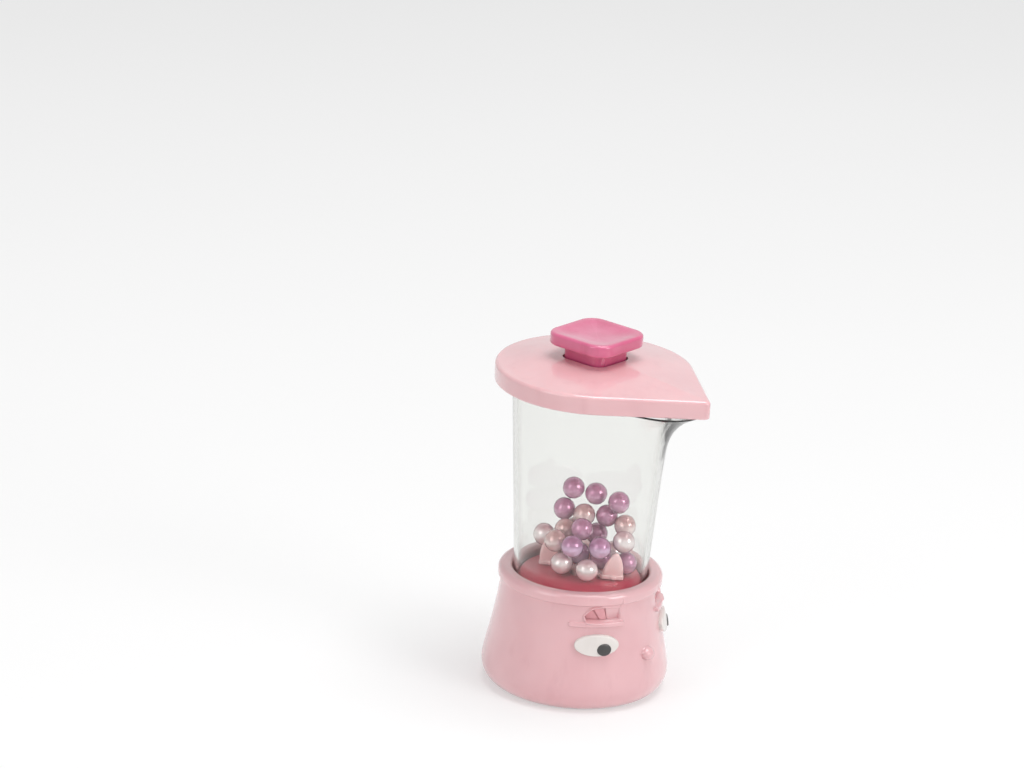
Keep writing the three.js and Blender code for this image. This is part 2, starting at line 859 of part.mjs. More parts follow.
function bottomCover() {
  const outer = openingRadius - fitGap;
  const plate = ring(coverHoleRadius, outer, coverRecess, coverTop, baseSegments);
  const postTop = bossBottomHeight - fitGap;
  const postLow = coverTop - coverThickness / 2;
  const seatTop = coverScrewLow + screwHeadHeight + fitGap;
  const columns = posts.map((i) => onPostCircle(rod(postRadius, postLow, postTop), i));
  const seats = posts.map((i) => onPostCircle(rod(screwSeatRadius, coverRecess - cutOverrun, seatTop), i));
  const ways = posts.map((i) => onPostCircle(rod(screwClearRadius, coverRecess, postTop + cutOverrun), i));
  return cut(join(plate, ...columns), ...seats, ...ways);
}

// Finger dial

function fingerDial() {
  const hubBase = dialRoof + dialFlangeThickness / 2;
  const body = lathe([
    [0, dialRoof],
    [dialDishRadius, dialRoof],
    [dialDishRadius, dialRecess],
    [dialRadius, dialRecess],
    [dialRadius, dialFlangeBottom],
    [dialFlangeRadius, dialFlangeBottom],
    [dialFlangeRadius, dialFlangeTop],
    [0, dialFlangeTop],
  ], baseSegments);
  const hub = rod(dialHubRadius, hubBase, dialHubTop);
  const gripHeight = dialDishDepth + cutOverrun;
  const grip = new THREE.BoxGeometry(2 * dialDishRadius + cutOverrun, dialGripWidth, gripHeight);
  grip.translate(0, 0, dialRecess + gripHeight / 2);
  const boss = rod(dialBossRadius, dialRecess, hubBase);
  const headTop = dialRecess + fitGap + screwHeadHeight;
  const seat = rod(screwSeatRadius, dialRecess - cutOverrun, headTop + fitGap);
  const way = rod(screwClearRadius, dialRecess, stemBottomHeight);
  const socket = rod(keySocketRadius, stemBottomHeight - fitGap, stemKeyTop, keySides).rotateZ(rotorTurn);
  const mouth = rod(stemBoreRadius, stemKeyTop - cutOverrun, dialHubTop + cutOverrun);
  return cut(join(body, hub, clean(grip), boss), seat, way, socket, mouth);
}

// Lid

const lidEdgeShares = [[0.4, 0], [0, 1]];
const lidTopEdgeShares = [[0, 1], [0.5, 0.15]];
const lidSlopeShares = [[0.95, 0.12], [0.67, 0.55], [0.33, 0.85], [0, 1]];
const knobWayHalf = neckHalf + fitGap;
const knobWayCorner = neckCorner + fitGap;

// A ring between the drop outline and the knob's way, at a share of the distance outwards
function lidRing(share, inset, height) {
  return polarRing((angle) => {
    const outer = dropRadius(angle, inset);
    const inner = squareRadius(angle, knobWayHalf, knobWayCorner);
    return inner + (outer - inner) * share;
  }, height);
}

function lidDome(inset, rimHeight) {
  return lidSlopeShares.map(([share, up]) => lidRing(share, inset, rimHeight + lidDomeRise * up));
}

function lidShell() {
  const lowEdge = lidEdgeShares.map(([inset, up]) => (
    lidRing(1, lidEdgeRound * inset, lidBottomHeight + lidEdgeRound * up)
  ));
  const topEdge = lidTopEdgeShares.map(([inset, down]) => (
    lidRing(1, lidEdgeRound * inset, lidTop - lidEdgeRound * down)
  ));
  const roof = lidTop - lidWall;
  return loft([
    ...lowEdge,
    ...topEdge,
    ...lidDome(lidEdgeRound, lidTop),
    ...lidDome(lidWall, roof).reverse(),
    lidRing(1, lidWall, roof),
    lidRing(1, lidWall, lidBottomHeight),
  ], true);
}

function lidPlate() {
  const inset = lidWall + fitGap;
  const plate = loft([
    polarRing((angle) => dropRadius(angle, inset), lidBottomHeight),
    polarRing((angle) => dropRadius(angle, inset), lidPlateTop),
  ]);
  const plugRadius = jarTopRadius - jarWall - fitGap;
  const plugTop = lidBottomHeight + lidPlateThickness / 2;
  const plugLow = lidBottomHeight - plugHeight;
  const plug = ring(plugRadius - plugWall, plugRadius, plugLow, plugTop, baseSegments);
  const well = rod(wellRadius, wellFloorBottom, plugTop);
  const chamber = rod(springChamberRadius, wellFloorTop, lidPlateTop + cutOverrun);
  const way = rod(knobStemRadius + fitGap, wellFloorBottom - cutOverrun, wellFloorTop + cutOverrun);
  return cut(join(plate, plug, well), chamber, way);
}

// Knob

// Edge rings as shares of the edge's rounding: inwards, and up or down
const knobLowEdgeShares = [[1, 0.2], [0, 1]];
const knobTopEdgeShares = [[0, 1], [0.3, 0.3], [1, 0]];
const knobDishShares = [[1, 0.15], [0.5, 0.8]];

function knobOutside() {
  const neckRing = (spread, height) => squareRing(neckHalf + spread, neckCorner + spread, height);
  const capRing = (inset, height) => squareRing(knobHalf - inset, knobCorner - inset, height);
  const lowEdge = knobLowEdgeShares.map(([inset, up]) => (
    capRing(knobEdgeRound * inset, knobCapBottom + knobEdgeRound * up)
  ));
  const topEdge = knobTopEdgeShares.map(([inset, down]) => (
    capRing(knobEdgeRound * inset, knobTopHeight - knobEdgeRound * down)
  ));
  const dishHalf = knobHalf - knobRimWidth;
  const dishCorner = (knobCorner * dishHalf) / knobHalf;
  const dish = knobDishShares.map(([out, down]) => (
    squareRing(dishHalf * out, dishCorner * out, knobTopHeight - knobDishDepth * down)
  ));
  return loft([
    neckRing(0, neckBottomHeight),
    neckRing(0, knobCapBottom - knobEdgeRound),
    neckRing(knobEdgeRound, knobCapBottom),
    neckRing(knobOverhang / 2, knobCapBottom),
    ...lowEdge,
    ...topEdge,
    ...dish,
  ]);
}

function knobBody() {
  const chamber = rod(springChamberRadius, neckBottomHeight - cutOverrun, springChamberTop);
  const stem = rod(knobStemRadius, knobStemBottom, springChamberTop + capRoof / 3);
  const coreTop = knobStemBottom + knobScrewBite + fitGap;
  const core = rod(screwHoleRadius, knobStemBottom - cutOverrun, coreTop);
  return cut(join(cut(knobOutside(), chamber), stem), core);
}

function knobScrew() {
  const low = knobWasherBottom - insetGap - screwHeadHeight;
  return screw(low, knobStemBottom + knobScrewBite - low - screwHeadHeight);
}

// Spring: one unbroken tube of round section along a helix
const springRise = springHigh - springLow - 2 * springWireRadius;

function springPoint(turns) {
  const angle = FULL_TURN * turns;
  return new THREE.Vector3(
    springCoilRadius * Math.cos(angle),
    springCoilRadius * Math.sin(angle),
    springLow + springWireRadius + (springRise * turns) / springCurls,
  );
}

function knobSpring() {
  const steps = springCurls * curlSteps;
  const rings = Array.from({ length: steps + 1 }, (_, i) => {
    const turns = i / curlSteps;
    const centre = springPoint(turns);
    const outward = new THREE.Vector3(centre.x, centre.y, 0).normalize();
    return Array.from({ length: wireSides }, (__, j) => {
      const around = (FULL_TURN * j) / wireSides;
      const point = centre.clone().addScaledVector(outward, springWireRadius * Math.cos(around));
      point.z += springWireRadius * Math.sin(around);
      return point;
    });
  });
  return loft(rings);
}

// The spring's least gap to itself, between neighbouring curls
const springGap = springRise / springCurls - 2 * springWireRadius;
console.log(`spring gap between curls ${springGap.toFixed(2)} mm`);

// Assembly

const toy = new THREE.Group();

function add(name, geometry, material, parent = toy) {
  const mesh = new THREE.Mesh(geometry, material);
  mesh.name = name;
  parent.add(mesh);
  return mesh;
}

add('base_shell', baseShell(), palePink);
add('bottom_cover', bottomCover(), palePink);
posts.forEach((i) => add(`cover_screw_${i + 1}`, coverScrew(i), steel));
add('eye_white_left', eyeWhitePad(1), eyeWhite);
add('eye_white_right', eyeWhitePad(-1), eyeWhite);
add('pupil_left', pupilPad(1), pupilBlack);
add('pupil_right', pupilPad(-1), pupilBlack);
add('jar_floor', jarFloor(), deepPink);
add('jar', jarBody(), clearPlastic);
add('rotor', rotorBody(), palePink);
add('thrust_washer', ring(stemBoreRadius, hubRadius, washerBottom, washerTop), nylon);
add('finger_dial', fingerDial(), darkPink);
add('rotor_screw', rotorScrew(), steel);

heapShares.forEach((bead, i) => {
  const place = beadPlace(bead);
  const name = `bead_${String(i + 1).padStart(2, '0')}`;
  add(name, beadGeometry(), pearls[bead[0]]).position.copy(place);
});

add('lid_shell', lidShell(), palePink);
add('lid_plate', lidPlate(), palePink);
add('knob', knobBody(), darkPink);
add('knob_spring', knobSpring(), steel);
add('knob_washer', ring(screwClearRadius, knobWasherRadius, knobWasherBottom, knobWasherTop), nylon);
add('knob_screw', knobScrew(), steel);

// The origin is the middle of the bounding box's bottom, so the drop-shaped lid moves the axis back
const model = new THREE.Group();
toy.position.y = (lidReach - lidRadius) / 2;
model.add(toy);

export default model;
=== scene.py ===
# The dressed model of a toy blender: a pot-shaped base with a face, a clear jar of pearl beads
# with a finned rotor, a drop-shaped lid and a sprung square knob.
# Toy coordinates are millimetres with the jar's axis at x = y = 0 and the front at -Y.
import math

import bmesh
import bpy
from mathutils import Matrix, Vector, noise


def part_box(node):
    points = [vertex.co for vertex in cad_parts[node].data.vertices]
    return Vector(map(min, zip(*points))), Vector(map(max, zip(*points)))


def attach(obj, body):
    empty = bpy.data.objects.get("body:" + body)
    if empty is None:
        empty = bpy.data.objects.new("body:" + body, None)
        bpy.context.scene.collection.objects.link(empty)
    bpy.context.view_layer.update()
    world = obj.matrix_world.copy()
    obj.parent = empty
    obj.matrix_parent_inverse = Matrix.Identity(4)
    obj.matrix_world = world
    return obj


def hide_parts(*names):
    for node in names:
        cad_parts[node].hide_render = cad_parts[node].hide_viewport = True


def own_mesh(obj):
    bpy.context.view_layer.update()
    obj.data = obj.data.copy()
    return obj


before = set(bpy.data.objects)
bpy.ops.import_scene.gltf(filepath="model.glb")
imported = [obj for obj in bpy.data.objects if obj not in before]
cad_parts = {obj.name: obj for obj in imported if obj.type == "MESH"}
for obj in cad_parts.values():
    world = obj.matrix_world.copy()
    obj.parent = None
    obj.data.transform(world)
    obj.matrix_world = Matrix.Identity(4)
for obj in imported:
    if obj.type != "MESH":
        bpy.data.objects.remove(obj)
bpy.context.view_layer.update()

MM = 0.001
TURN = 2 * math.pi
axis_low, axis_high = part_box("finger_dial")
AXIS_Y = (axis_low[1] + axis_high[1]) / 2

# Clearances, and how far a cutter passes a surface
fit_gap = 0.3
embed = 0.3
overrun = 0.5
least_radius = 0.002

# Meshes: metres and degrees
weld = 1e-7
sliver = 1e-8
bevelled_crease = 60

# Jar
jar_top = 62.6
jar_bottom = 24.35
jar_bottom_radius = 13.4
jar_flare = 2.6
jar_wall = 0.9
spout_length = 10.5
spout_flare = 5.0
spout_half_angle = math.radians(42)
flange_radius = 14.0
flange_top = 22.2
flange_bottom = 21.0
jar_crowd = 0.55
jar_lip_rise = 0.35
jar_levels = [0, 0.2, 0.4, 0.55, 0.66, 0.74, 0.8, 0.845, 0.88, 0.905, 0.925, 0.94, 0.953, 0.965, 0.976,
              0.986]

# Base shell
neck_radius = 15.8
lip_radius = 16.45
rim_inner_radius = 13.6
rim_top = 24.35
crease_height = 21.9
shoulder_height = 22.5
widest_radius = 18.7
widest_height = 4.1
foot_radius = 15.0
opening_radius = 14.3
belly_low_rise = 2.4
belly_top_spread = 0.8
belly_top_drop = 8.9
shell_wall = 1.5
cover_top = 1.5
crease_drop = 0.4
lip_step = 0.18
rim_corners = [0, 0.1, 0.55, 1.15, 0.85, 0]
opening_edge = [(0.0, 0.35), (0.3, 0.05), (0.5, 0.0)]
inner_levels = (crease_height, 18.0, 14.0, 10.0, 7.0, widest_height)
rim_outside = rim_inner_radius + 1.5
# Low, high and step
level_steps = ((widest_height, 9.2, 0.4), (9.2, 12.4, 0.1), (12.4, 17.2, 0.4), (17.2, 21.6, 0.08),
               (21.6, crease_height, 0.1))
angle_steps = ((0, 6, 0.3), (6, 16, 0.5), (16, 60, 0.32), (60, 70, 1.0), (70, 180, 2.0))

# Face: outlines run across and up from an eye
face_angle = math.radians(38)
brow_height = 18.2
brow_half = (5.65, 0.475)
brow_proud = 0.6
brow_corner = 0.9
brow_swell = (0.72, 0.4)
brow_swell_length = 8
brow_edge = 0.2
window_depth = 0.25
window_lean = 0.65
hole_depth = 1.45
window_low = 18.95
window_high = 21.25
window_edge = 0.16
window_zone = (-4.0, 5.6, 18.2, 22.2)
window_end = 4.92
hole_edge = 0.13
lip_width = 0.3
lip_proud = 0.38
lip_reach = 1.8
lip_fade = 1.4
lip_base = 0.1
window_bend = [(-2.38, 19.85), (-1.62, 20.75), (-1.1, 21.3), (0.5, 21.38)]
window_line = [(1.5, 21.3), (4.78, 21.2), (4.86, window_low), (-2.1, window_low)]
hole_line = [(1.66, 21.34), (2.2, 18.93), (-2.02, 18.96), (-2.28, 19.4)]
lug_left = [(-2.3, 19.83), (-2.02, 19.06), (0.5, 18.98), (-0.86, 21.02), (-1.5, 20.6)]
lug_right = [(0.68, 18.98), (2.12, 18.98), (1.6, 21.28), (0.6, 21.34), (-0.03, 21.26), (-0.7, 21.1)]
lug_depths = ((lug_left, -0.92), (lug_right, -0.66))
lug_corner = 0.1
lug_edge = 0.08
lug_top_share = 0.97
backing = [(-2.3, 19.0), (2.2, 19.0), (1.6, 21.3), (-0.1, 21.3), (-2.3, 19.9)]
backing_depth = -1.08
eye_height = 14.2
eye_half = (4.4, 2.1)
eye_proud = 0.9
eye_edge = 0.34
eye_dome = 0.16
dome_shares = (0.85, 0.65, 0.4, 0.15)
pupil_aside = 1.3
pupil_drop = 0.7
pupil_half = (1.38, 1.2)
pupil_low = 0.45
pupil_proud = 0.36
pupil_edge = 0.26
pupil_dome = 0.08
nose_height = 10.8
nose_angle = math.radians(2)
nose_half = (1.6, 1.3)
nose_proud = 1.5
nose_fullness = 2.2
nose_zone = 0.12
seam_low = 19.1
seam_top = 23.3
seam_fade = 0.3
seam_depth = 0.15
seam_half_width = 0.2

# Jar floor
floor_top = 23.0
floor_radius = 12.2
floor_thickness = 1.6
floor_flange_top = 20.7
floor_flange_bottom = 19.5
hub_radius = 3.6
hub_bottom = 16.6
bore_radius = 2.0
boss_radius = 2.0
boss_bottom = 15.0
boss_root = 0.2
screw_hole_radius = 0.75
post_circle = 10.2
post_angles = [math.radians(13 + 120 * i) for i in range(3)]

# Rotor
rotor_angle = math.radians(13)
bar_low = 23.3
bar_high = 24.1
bar_half = (8.0, 0.85)
fin_offset = 6.85
fin_length = 4.4
fin_height = 5.1
fin_drop = 0.6
fin_thickness = 1.2
fin_sweep = math.radians(25)
fin_middle = (0.02, 0.42)
fin_layers = ((0.25, 1.0), (0.6, 0.94), (0.85, 0.78), (0.96, 0.5), (1.0, 0.18))
fin_foot_half = (2.3, 0.72)
fin_foot_corner = 0.6
fin_foot_layers = ((0.98, 0.92, bar_low), (1, 1, bar_low + 0.12), (1, 1, bar_high - 0.15),
                   (0.98, 0.9, bar_high - 0.02))
bar_layers = ((0.995, 0.86, bar_low), (1, 1, bar_low + 0.2), (1, 1, bar_high - 0.2),
              (0.985, 0.9, bar_high - 0.03), (0.97, 0.8, bar_high))
rotor_dome = ((0, 0.35), (1.4, 0.28), (1.9, 0), (1.9, -0.3), (0, -0.3))
stem_root = 0.2
stem_radius = 1.7
stem_low = 9.0
key_top = 15.2

# Beads
bead_radius = 2.27
bead_rows, bead_columns = 20, 32
bead_share = 0.994
bead_wobble = 0.012
bead_wave = 1.7
bead_seed = 3.7
bead_turns = (1.3, 0.9)
gate_share = 0.985

# Bottom
cover_low = 0.25
cover_radius = 14.0
cover_hole_radius = 6.9
cover_bevel = 0.08
post_radius = 2.1
post_top = 14.7
post_root = 0.4
screw_seat_radius = 1.65
screw_seat_top = 1.65
screw_clear_radius = 0.9
dial_low = 0.5
dial_radius = 6.6
dial_flange_radius = 7.6
dial_flange_low = 1.8
dial_flange_high = 3.0
dish_radius = 5.6
dish_roof = 1.7
grip_half_width = 0.95
grip_reach = dish_radius + 0.4
grip_corner = 0.2
grip_low = dial_low + 0.3
grip_layers = ((1, 0.7, grip_low), (1, 0.9, grip_low + 0.1), (1, 1, grip_low + 0.3),
               (1, 1, dish_roof + embed))
dial_boss_radius = 2.5
dial_hub_radius = 3.2
dial_hub_top = 15.5
dial_seat_top = 1.9
dial_seat_flare = 0.65
dial_seat_edge = 0.15
socket_radius = 1.85
thrust_washer = (2.0, 3.6, 15.8, 16.3)

# Lid
lid_low = 62.9
lid_high = 66.7
lid_radius = 19.6
lid_reach = 28.6
lid_tip_radius = 0.9
lid_dome = 1.6
lid_wall = 1.5
lid_dome_power = 1.25
lid_low_edge = 0.45
lid_top_edge = 0.75
lid_crowd = 0.82
plate_top = 64.3
plug_outer = 14.8
plug_inner = 13.6
plug_drop = 1.5
well_radius = 4.6
well_bore = 3.4
well_bottom = 59.7
well_floor = 61.2
well_rise = 0.5
stem_way = 1.7

# Knob
knob_top = 73.5
cap_low = 71.0
cap_half = 7.55
cap_corner = 3.6
cap_dish = 0.6
cap_rim = 0.9
cap_low_edge = 0.5
cap_top_edge = 0.6
cap_under = 1.0
dish_edge = 0.1
dish_power = 2.6
neck_half = 5.0
neck_corner = 2.2
neck_flare = 0.9
neck_lead = 0.15
neck_low = 66.6
spring_chamber = 3.4
spring_roof = 70.9
knob_stem_radius = 1.4
knob_stem_low = 59.55
knob_stem_root = 0.8
knob_washer = (0.9, 2.6, 58.9, 59.4)
coil_radius = 2.6
wire_radius = 0.3
coil_turns = 6
closed_turn_gap = 0.08
closed_turns = 0.7
opening_turns = 0.6

# Screws
shank_radius = 0.6
head_radius = 1.35
head_height = 0.8
recess_span = 0.62
recess_width = 0.16
recess_depth = 0.5
recess_taper = (0.55, 0.8)
cover_screw = (0.55, 18.2)
rotor_screw = (0.8, 13.0)
knob_screw = (57.95, 63.55)


def toy(x, y, z):
    """A point in toy millimetres, in the frame's metres."""
    return (x * MM, y * MM + AXIS_Y, z * MM)


# Outlines


def rounded(points, radii, steps, closed=True):
    """The outline of straight lines through points, with each corner rounded by its radius."""
    result = []
    count = len(points)
    for i, (point, radius) in enumerate(zip(points, radii)):
        here = Vector(point)
        at_end = not closed and i in (0, count - 1)
        if at_end or radius <= 0:
            result.append(tuple(here))
            continue
        before = Vector(points[i - 1])
        after = Vector(points[(i + 1) % count])
        back = (before - here).normalized()
        ahead = (after - here).normalized()
        angle = back.angle(ahead)
        reach = radius / math.tan(angle / 2)
        longest = min((before - here).length, (after - here).length) / 2
        reach = min(reach, longest)
        true_radius = reach * math.tan(angle / 2)
        start = here + back * reach
        centre = here + (back + ahead).normalized() * (true_radius / math.sin(angle / 2))
        first = start - centre
        sweep = math.pi - angle
        turning = back.x * ahead.y - back.y * ahead.x
        sign = -1 if turning > 0 else 1
        for k in range(steps + 1):
            turn = sign * sweep * k / steps
            turned = Vector((
                first.x * math.cos(turn) - first.y * math.sin(turn),
                first.x * math.sin(turn) + first.y * math.cos(turn),
            ))
            result.append(tuple(centre + turned))
    return result


def bezier(points, steps):
    a, b, c, d = map(Vector, points)
    result = []
    for k in range(steps + 1):
        t = k / steps
        s = 1 - t
        result.append(tuple(a * s**3 + b * 3 * s * s * t + c * 3 * s * t * t + d * t**3))
    return result


def smooth(x):
    x = min(max(x, 0.0), 1.0)
    return x * x * (3 - 2 * x)


def quarter(steps):
    """The shares 1 - cos and 1 - sin of a quarter turn, from its start to its end."""
    turns = [math.pi / 2 * k / steps for k in range(steps + 1)]
    return [(1 - math.cos(turn), 1 - math.sin(turn)) for turn in turns]


def around(count, crowd=0.0):
    """The angles of a full turn, drawn together at the front by a crowd above 0."""
    turns = [TURN * j / count for j in range(count)]
    return [turn - crowd * math.sin(turn) for turn in turns]


def polar(angle, radius, height):
    """The point at an angle from the front, positive towards +X."""
    return (radius * math.sin(angle), -radius * math.cos(angle), height)


def polar_ring(angles, radius_at, height):
    return [polar(angle, radius_at(angle), height) for angle in angles]


def rectangle(half_x, half_y):
    return [(-half_x, -half_y), (half_x, -half_y), (half_x, half_y), (-half_x, half_y)]


# Meshes: each is a pair of vertex and face lists in toy millimetres


def loft(rings, loop=False):
    """Skins rings with equal counts; without a loop each end is closed by one face."""
    count = len(rings[0])
    verts = [point for ring in rings for point in ring]
    faces = []
    spans = len(rings) if loop else len(rings) - 1
    for i in range(spans):
        low = i * count
        high = ((i + 1) % len(rings)) * count
        for j in range(count):
            k = (j + 1) % count
            faces.append((low + j, low + k, high + k, high + j))
    if not loop:
        faces.append(tuple(reversed(range(count))))
        faces.append(tuple(range((len(rings) - 1) * count, len(rings) * count)))
    return verts, faces


def lathe(profile, segments, closed=True):
    """Revolves radius and height points about the axis; an open profile starts and ends on it."""
    angles = around(segments)
    rings = [[polar(angle, max(radius, least_radius), height) for angle in angles]
             for radius, height in profile]
    return loft(rings, loop=closed)


def tube(inner, outer, low, high, corners, steps, segments):
    """A ring of rectangular section with a radius for each corner."""
    section = [(inner, low), (outer, low), (outer, high), (inner, high)]
    return lathe(rounded(section, corners, steps), segments)


def rod(radius, low, high, segments=48, edge=0.0):
    """A cylinder, with its lower edge rounded where a radius is given."""
    profile = [(0, low), (radius, low), (radius, high), (0, high)]
    if edge:
        profile = rounded(profile, [0, edge, 0, 0], 4, closed=False)
    return lathe(profile, segments, closed=False)


def stack(outline, layers):
    """An outline skinned through layers of x share, y share and height."""
    return loft([[(x * wide, y * deep, height) for x, y in outline] for wide, deep, height in layers])


def merged(*parts):
    verts, faces = [], []
    for part_verts, part_faces in parts:
        start = len(verts)
        verts += part_verts
        faces += [tuple(index + start for index in face) for face in part_faces]
    return verts, faces


def moved(part, x=0.0, y=0.0, turn=0.0):
    verts, faces = part
    c, s = math.cos(turn), math.sin(turn)
    return [(vx * c - vy * s + x, vx * s + vy * c + y, vz) for vx, vy, vz in verts], faces


def on_circle(part, angle):
    """A part moved out to one of the screw posts."""
    return moved(part, post_circle * math.sin(angle), post_circle * math.cos(angle))


def as_mesh(name, part):
    verts, faces = part
    mesh = bpy.data.meshes.new(name)
    mesh.from_pydata([toy(*v) for v in verts], [], faces)
    shape = bmesh.new()
    shape.from_mesh(mesh)
    bmesh.ops.remove_doubles(shape, verts=shape.verts, dist=weld)
    bmesh.ops.dissolve_degenerate(shape, dist=sliver, edges=shape.edges)
    bmesh.ops.recalc_face_normals(shape, faces=shape.faces)
    shape.to_mesh(mesh)
    shape.free()
    return mesh


def add(name, data):
    thing = bpy.data.objects.new(name, data)
    bpy.context.scene.collection.objects.link(thing)
    return thing


def boolean(shape, cutters, operation="DIFFERENCE"):
    """A part or a finished mesh that is cut by parts or joined with them."""
    base = add("base", shape if isinstance(shape, bpy.types.Mesh) else as_mesh("base", shape))
    tools = []
    for cutter in cutters:
        tool = add("tool", as_mesh("tool", cutter))
        step = base.modifiers.new("cut", "BOOLEAN")
        step.operation = operation
        step.solver = "EXACT"
        step.object = tool
        tools.append(tool)
    evaluated = base.evaluated_get(bpy.context.evaluated_depsgraph_get())
    mesh = bpy.data.meshes.new_from_object(evaluated)
    for thing in [base, *tools]:
        old = thing.data
        bpy.data.objects.remove(thing)
        bpy.data.meshes.remove(old)
    return mesh


def piece(name, shape, material, body, nodes, crease=32, bevel=0.0):
    """Makes one piece of the object that rides on a body and stands for CAD nodes."""
    mesh = shape if isinstance(shape, bpy.types.Mesh) else as_mesh(name, shape)
    mesh.name = name
    mesh.materials.clear()
    mesh.materials.append(material)
    thing = add(name, mesh)
    if bevel:
        edge = thing.modifiers.new("edges", "BEVEL")
        edge.width = bevel * MM
        edge.segments = 3
        edge.limit_method = "ANGLE"
        edge.angle_limit = math.radians(crease)
    mesh.shade_smooth()
    mesh.set_sharp_from_angle(angle=math.radians(bevelled_crease if bevel else crease))
    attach(thing, body)
    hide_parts(*nodes)
    return thing


# Materials

plastic_ior = 1.49
clear_ior = 1.46
coat_look = {"Coat_Roughness": 0.09, "Coat_IOR": 1.6}
soft_look = {"Subsurface_Radius": (1.0, 0.45, 0.4), "Subsurface_Scale": 0.0012}
shadow_tint = (0.97, 0.97, 0.97, 1.0)
depth_look = {"Color": (0.25, 0.3, 0.22, 1.0), "Density": 70.0}
# Ranges of a noise
broad = (0.3, 0.7)
narrow = (0.35, 0.65)


class Tree:
    """A short way to write nodes. An input takes a value or another node's output."""

    def __init__(self, tree):
        self.tree = tree

    def feed(self, socket, value):
        if isinstance(value, bpy.types.NodeSocket):
            self.tree.links.new(value, socket)
        else:
            socket.default_value = value

    def node(self, kind, inputs=None, **settings):
        made = self.tree.nodes.new(kind)
        for key, value in settings.items():
            setattr(made, key, value)
        for key, value in (inputs or {}).items():
            self.feed(made.inputs[key], value)
        return made

    def math(self, operation, first, second):
        return self.node("ShaderNodeMath", {0: first, 1: second}, operation=operation).outputs[0]

    def seen(self):
        """1 for the camera's rays and those that gloss and glass pass on."""
        rays = self.node("ShaderNodeLightPath").outputs
        direct = self.math("MAXIMUM", rays["Is Camera Ray"], rays["Is Glossy Ray"])
        return self.math("MAXIMUM", direct, rays["Is Transmission Ray"])

    def mix_shaders(self, share, first, second, target):
        either = self.node("ShaderNodeMixShader", {0: share, 1: first, 2: second})
        self.feed(target, either.outputs["Shader"])


class Surface(Tree):
    """The nodes of one material, with textures in the object's own coordinates."""

    def __init__(self, name):
        self.material = bpy.data.materials.new(name)
        self.material.use_nodes = True
        super().__init__(self.material.node_tree)
        self.shader = self.tree.nodes["Principled BSDF"]
        self.output = self.tree.nodes["Material Output"].inputs
        self.place = self.node("ShaderNodeTexCoord").outputs["Object"]

    def shade(self, **inputs):
        """Feeds the shader's inputs, whose names have _ for a space here."""
        for name, value in inputs.items():
            self.feed(self.shader.inputs[name.replace("_", " ")], value)

    def noise(self, scale, detail=3.0, rough=0.5, stretch=None):
        place = self.place
        if stretch:
            place = self.node("ShaderNodeMapping", {"Scale": stretch, "Vector": place}).outputs["Vector"]
        inputs = {"Scale": scale, "Detail": detail, "Roughness": rough, "Vector": place}
        return self.node("ShaderNodeTexNoise", inputs).outputs["Fac"]

    def spread(self, value, low, high, to_low, to_high):
        inputs = {"Value": value, "From Min": low, "From Max": high, "To Min": to_low, "To Max": to_high}
        return self.node("ShaderNodeMapRange", inputs).outputs["Result"]

    def mix(self, share, first, second):
        made = self.node("ShaderNodeMix", {"Factor": share}, data_type="RGBA")
        for socket, value in zip([s for s in made.inputs if s.type == "RGBA"], (first, second)):
            self.feed(socket, value)
        return [s for s in made.outputs if s.type == "RGBA"][0]

    def bump(self, height, strength, distance, before=None):
        inputs = {"Strength": strength, "Distance": distance, "Height": height}
        if before:
            inputs["Normal"] = before
        return self.node("ShaderNodeBump", inputs).outputs["Normal"]

    def facing(self):
        return self.node("ShaderNodeLayerWeight", {"Blend": 0.5}).outputs["Facing"]


def colour(red, green, blue):
    """An sRGB colour in 0 to 255 as the linear colour that a node takes."""
    def linear(value):
        value /= 255
        return value / 12.92 if value <= 0.04045 else ((value + 0.055) / 1.055) ** 2.4
    return (linear(red), linear(green), linear(blue), 1.0)


def plastic(name, main, light, dark, rough, grain, coat, soft=0.0):
    """Moulded plastic: cloudy tint, fine grain in the gloss, soft orange peel, pale worn edges and painted
    shade that darkens its creases.
    """
    t = Surface(name)
    main, light, dark = colour(*main), colour(*light), colour(*dark)
    cloud = t.spread(t.noise(90, 2.0), *narrow, 0.0, 1.0)
    flow = t.spread(t.noise(260, 4.0, 0.6, (1.0, 1.0, 0.35)), 0.55, 0.75, 0.0, 0.35)
    point = t.node("ShaderNodeNewGeometry").outputs["Pointiness"]
    edge = t.spread(point, 0.515, 0.58, 0.0, 0.35)
    # Painted shade: concave creases and hollows are darkened towards the dark colour, where shade would
    # fall.
    crease = t.spread(point, 0.42, 0.485, 0.6, 0.0)
    tint = t.mix(flow, t.mix(cloud, main, light), dark)
    tint = t.mix(crease, t.mix(edge, tint, light), dark)
    rub = t.spread(t.noise(500, 4.0, 0.6), *broad, rough * 0.9, rough * 1.2)
    peel = t.bump(t.noise(380, 2.0, 0.4), 0.1 * grain, 0.0004)
    fine = t.bump(t.noise(2600, 2.0, 0.5), 0.05 * grain, 0.00008, peel)
    t.shade(Base_Color=tint, Roughness=rub, Normal=fine, IOR=plastic_ior)
    t.shade(Coat_Weight=coat, **coat_look)
    if soft:
        t.shade(Subsurface_Weight=soft, **soft_look)
    return t.material


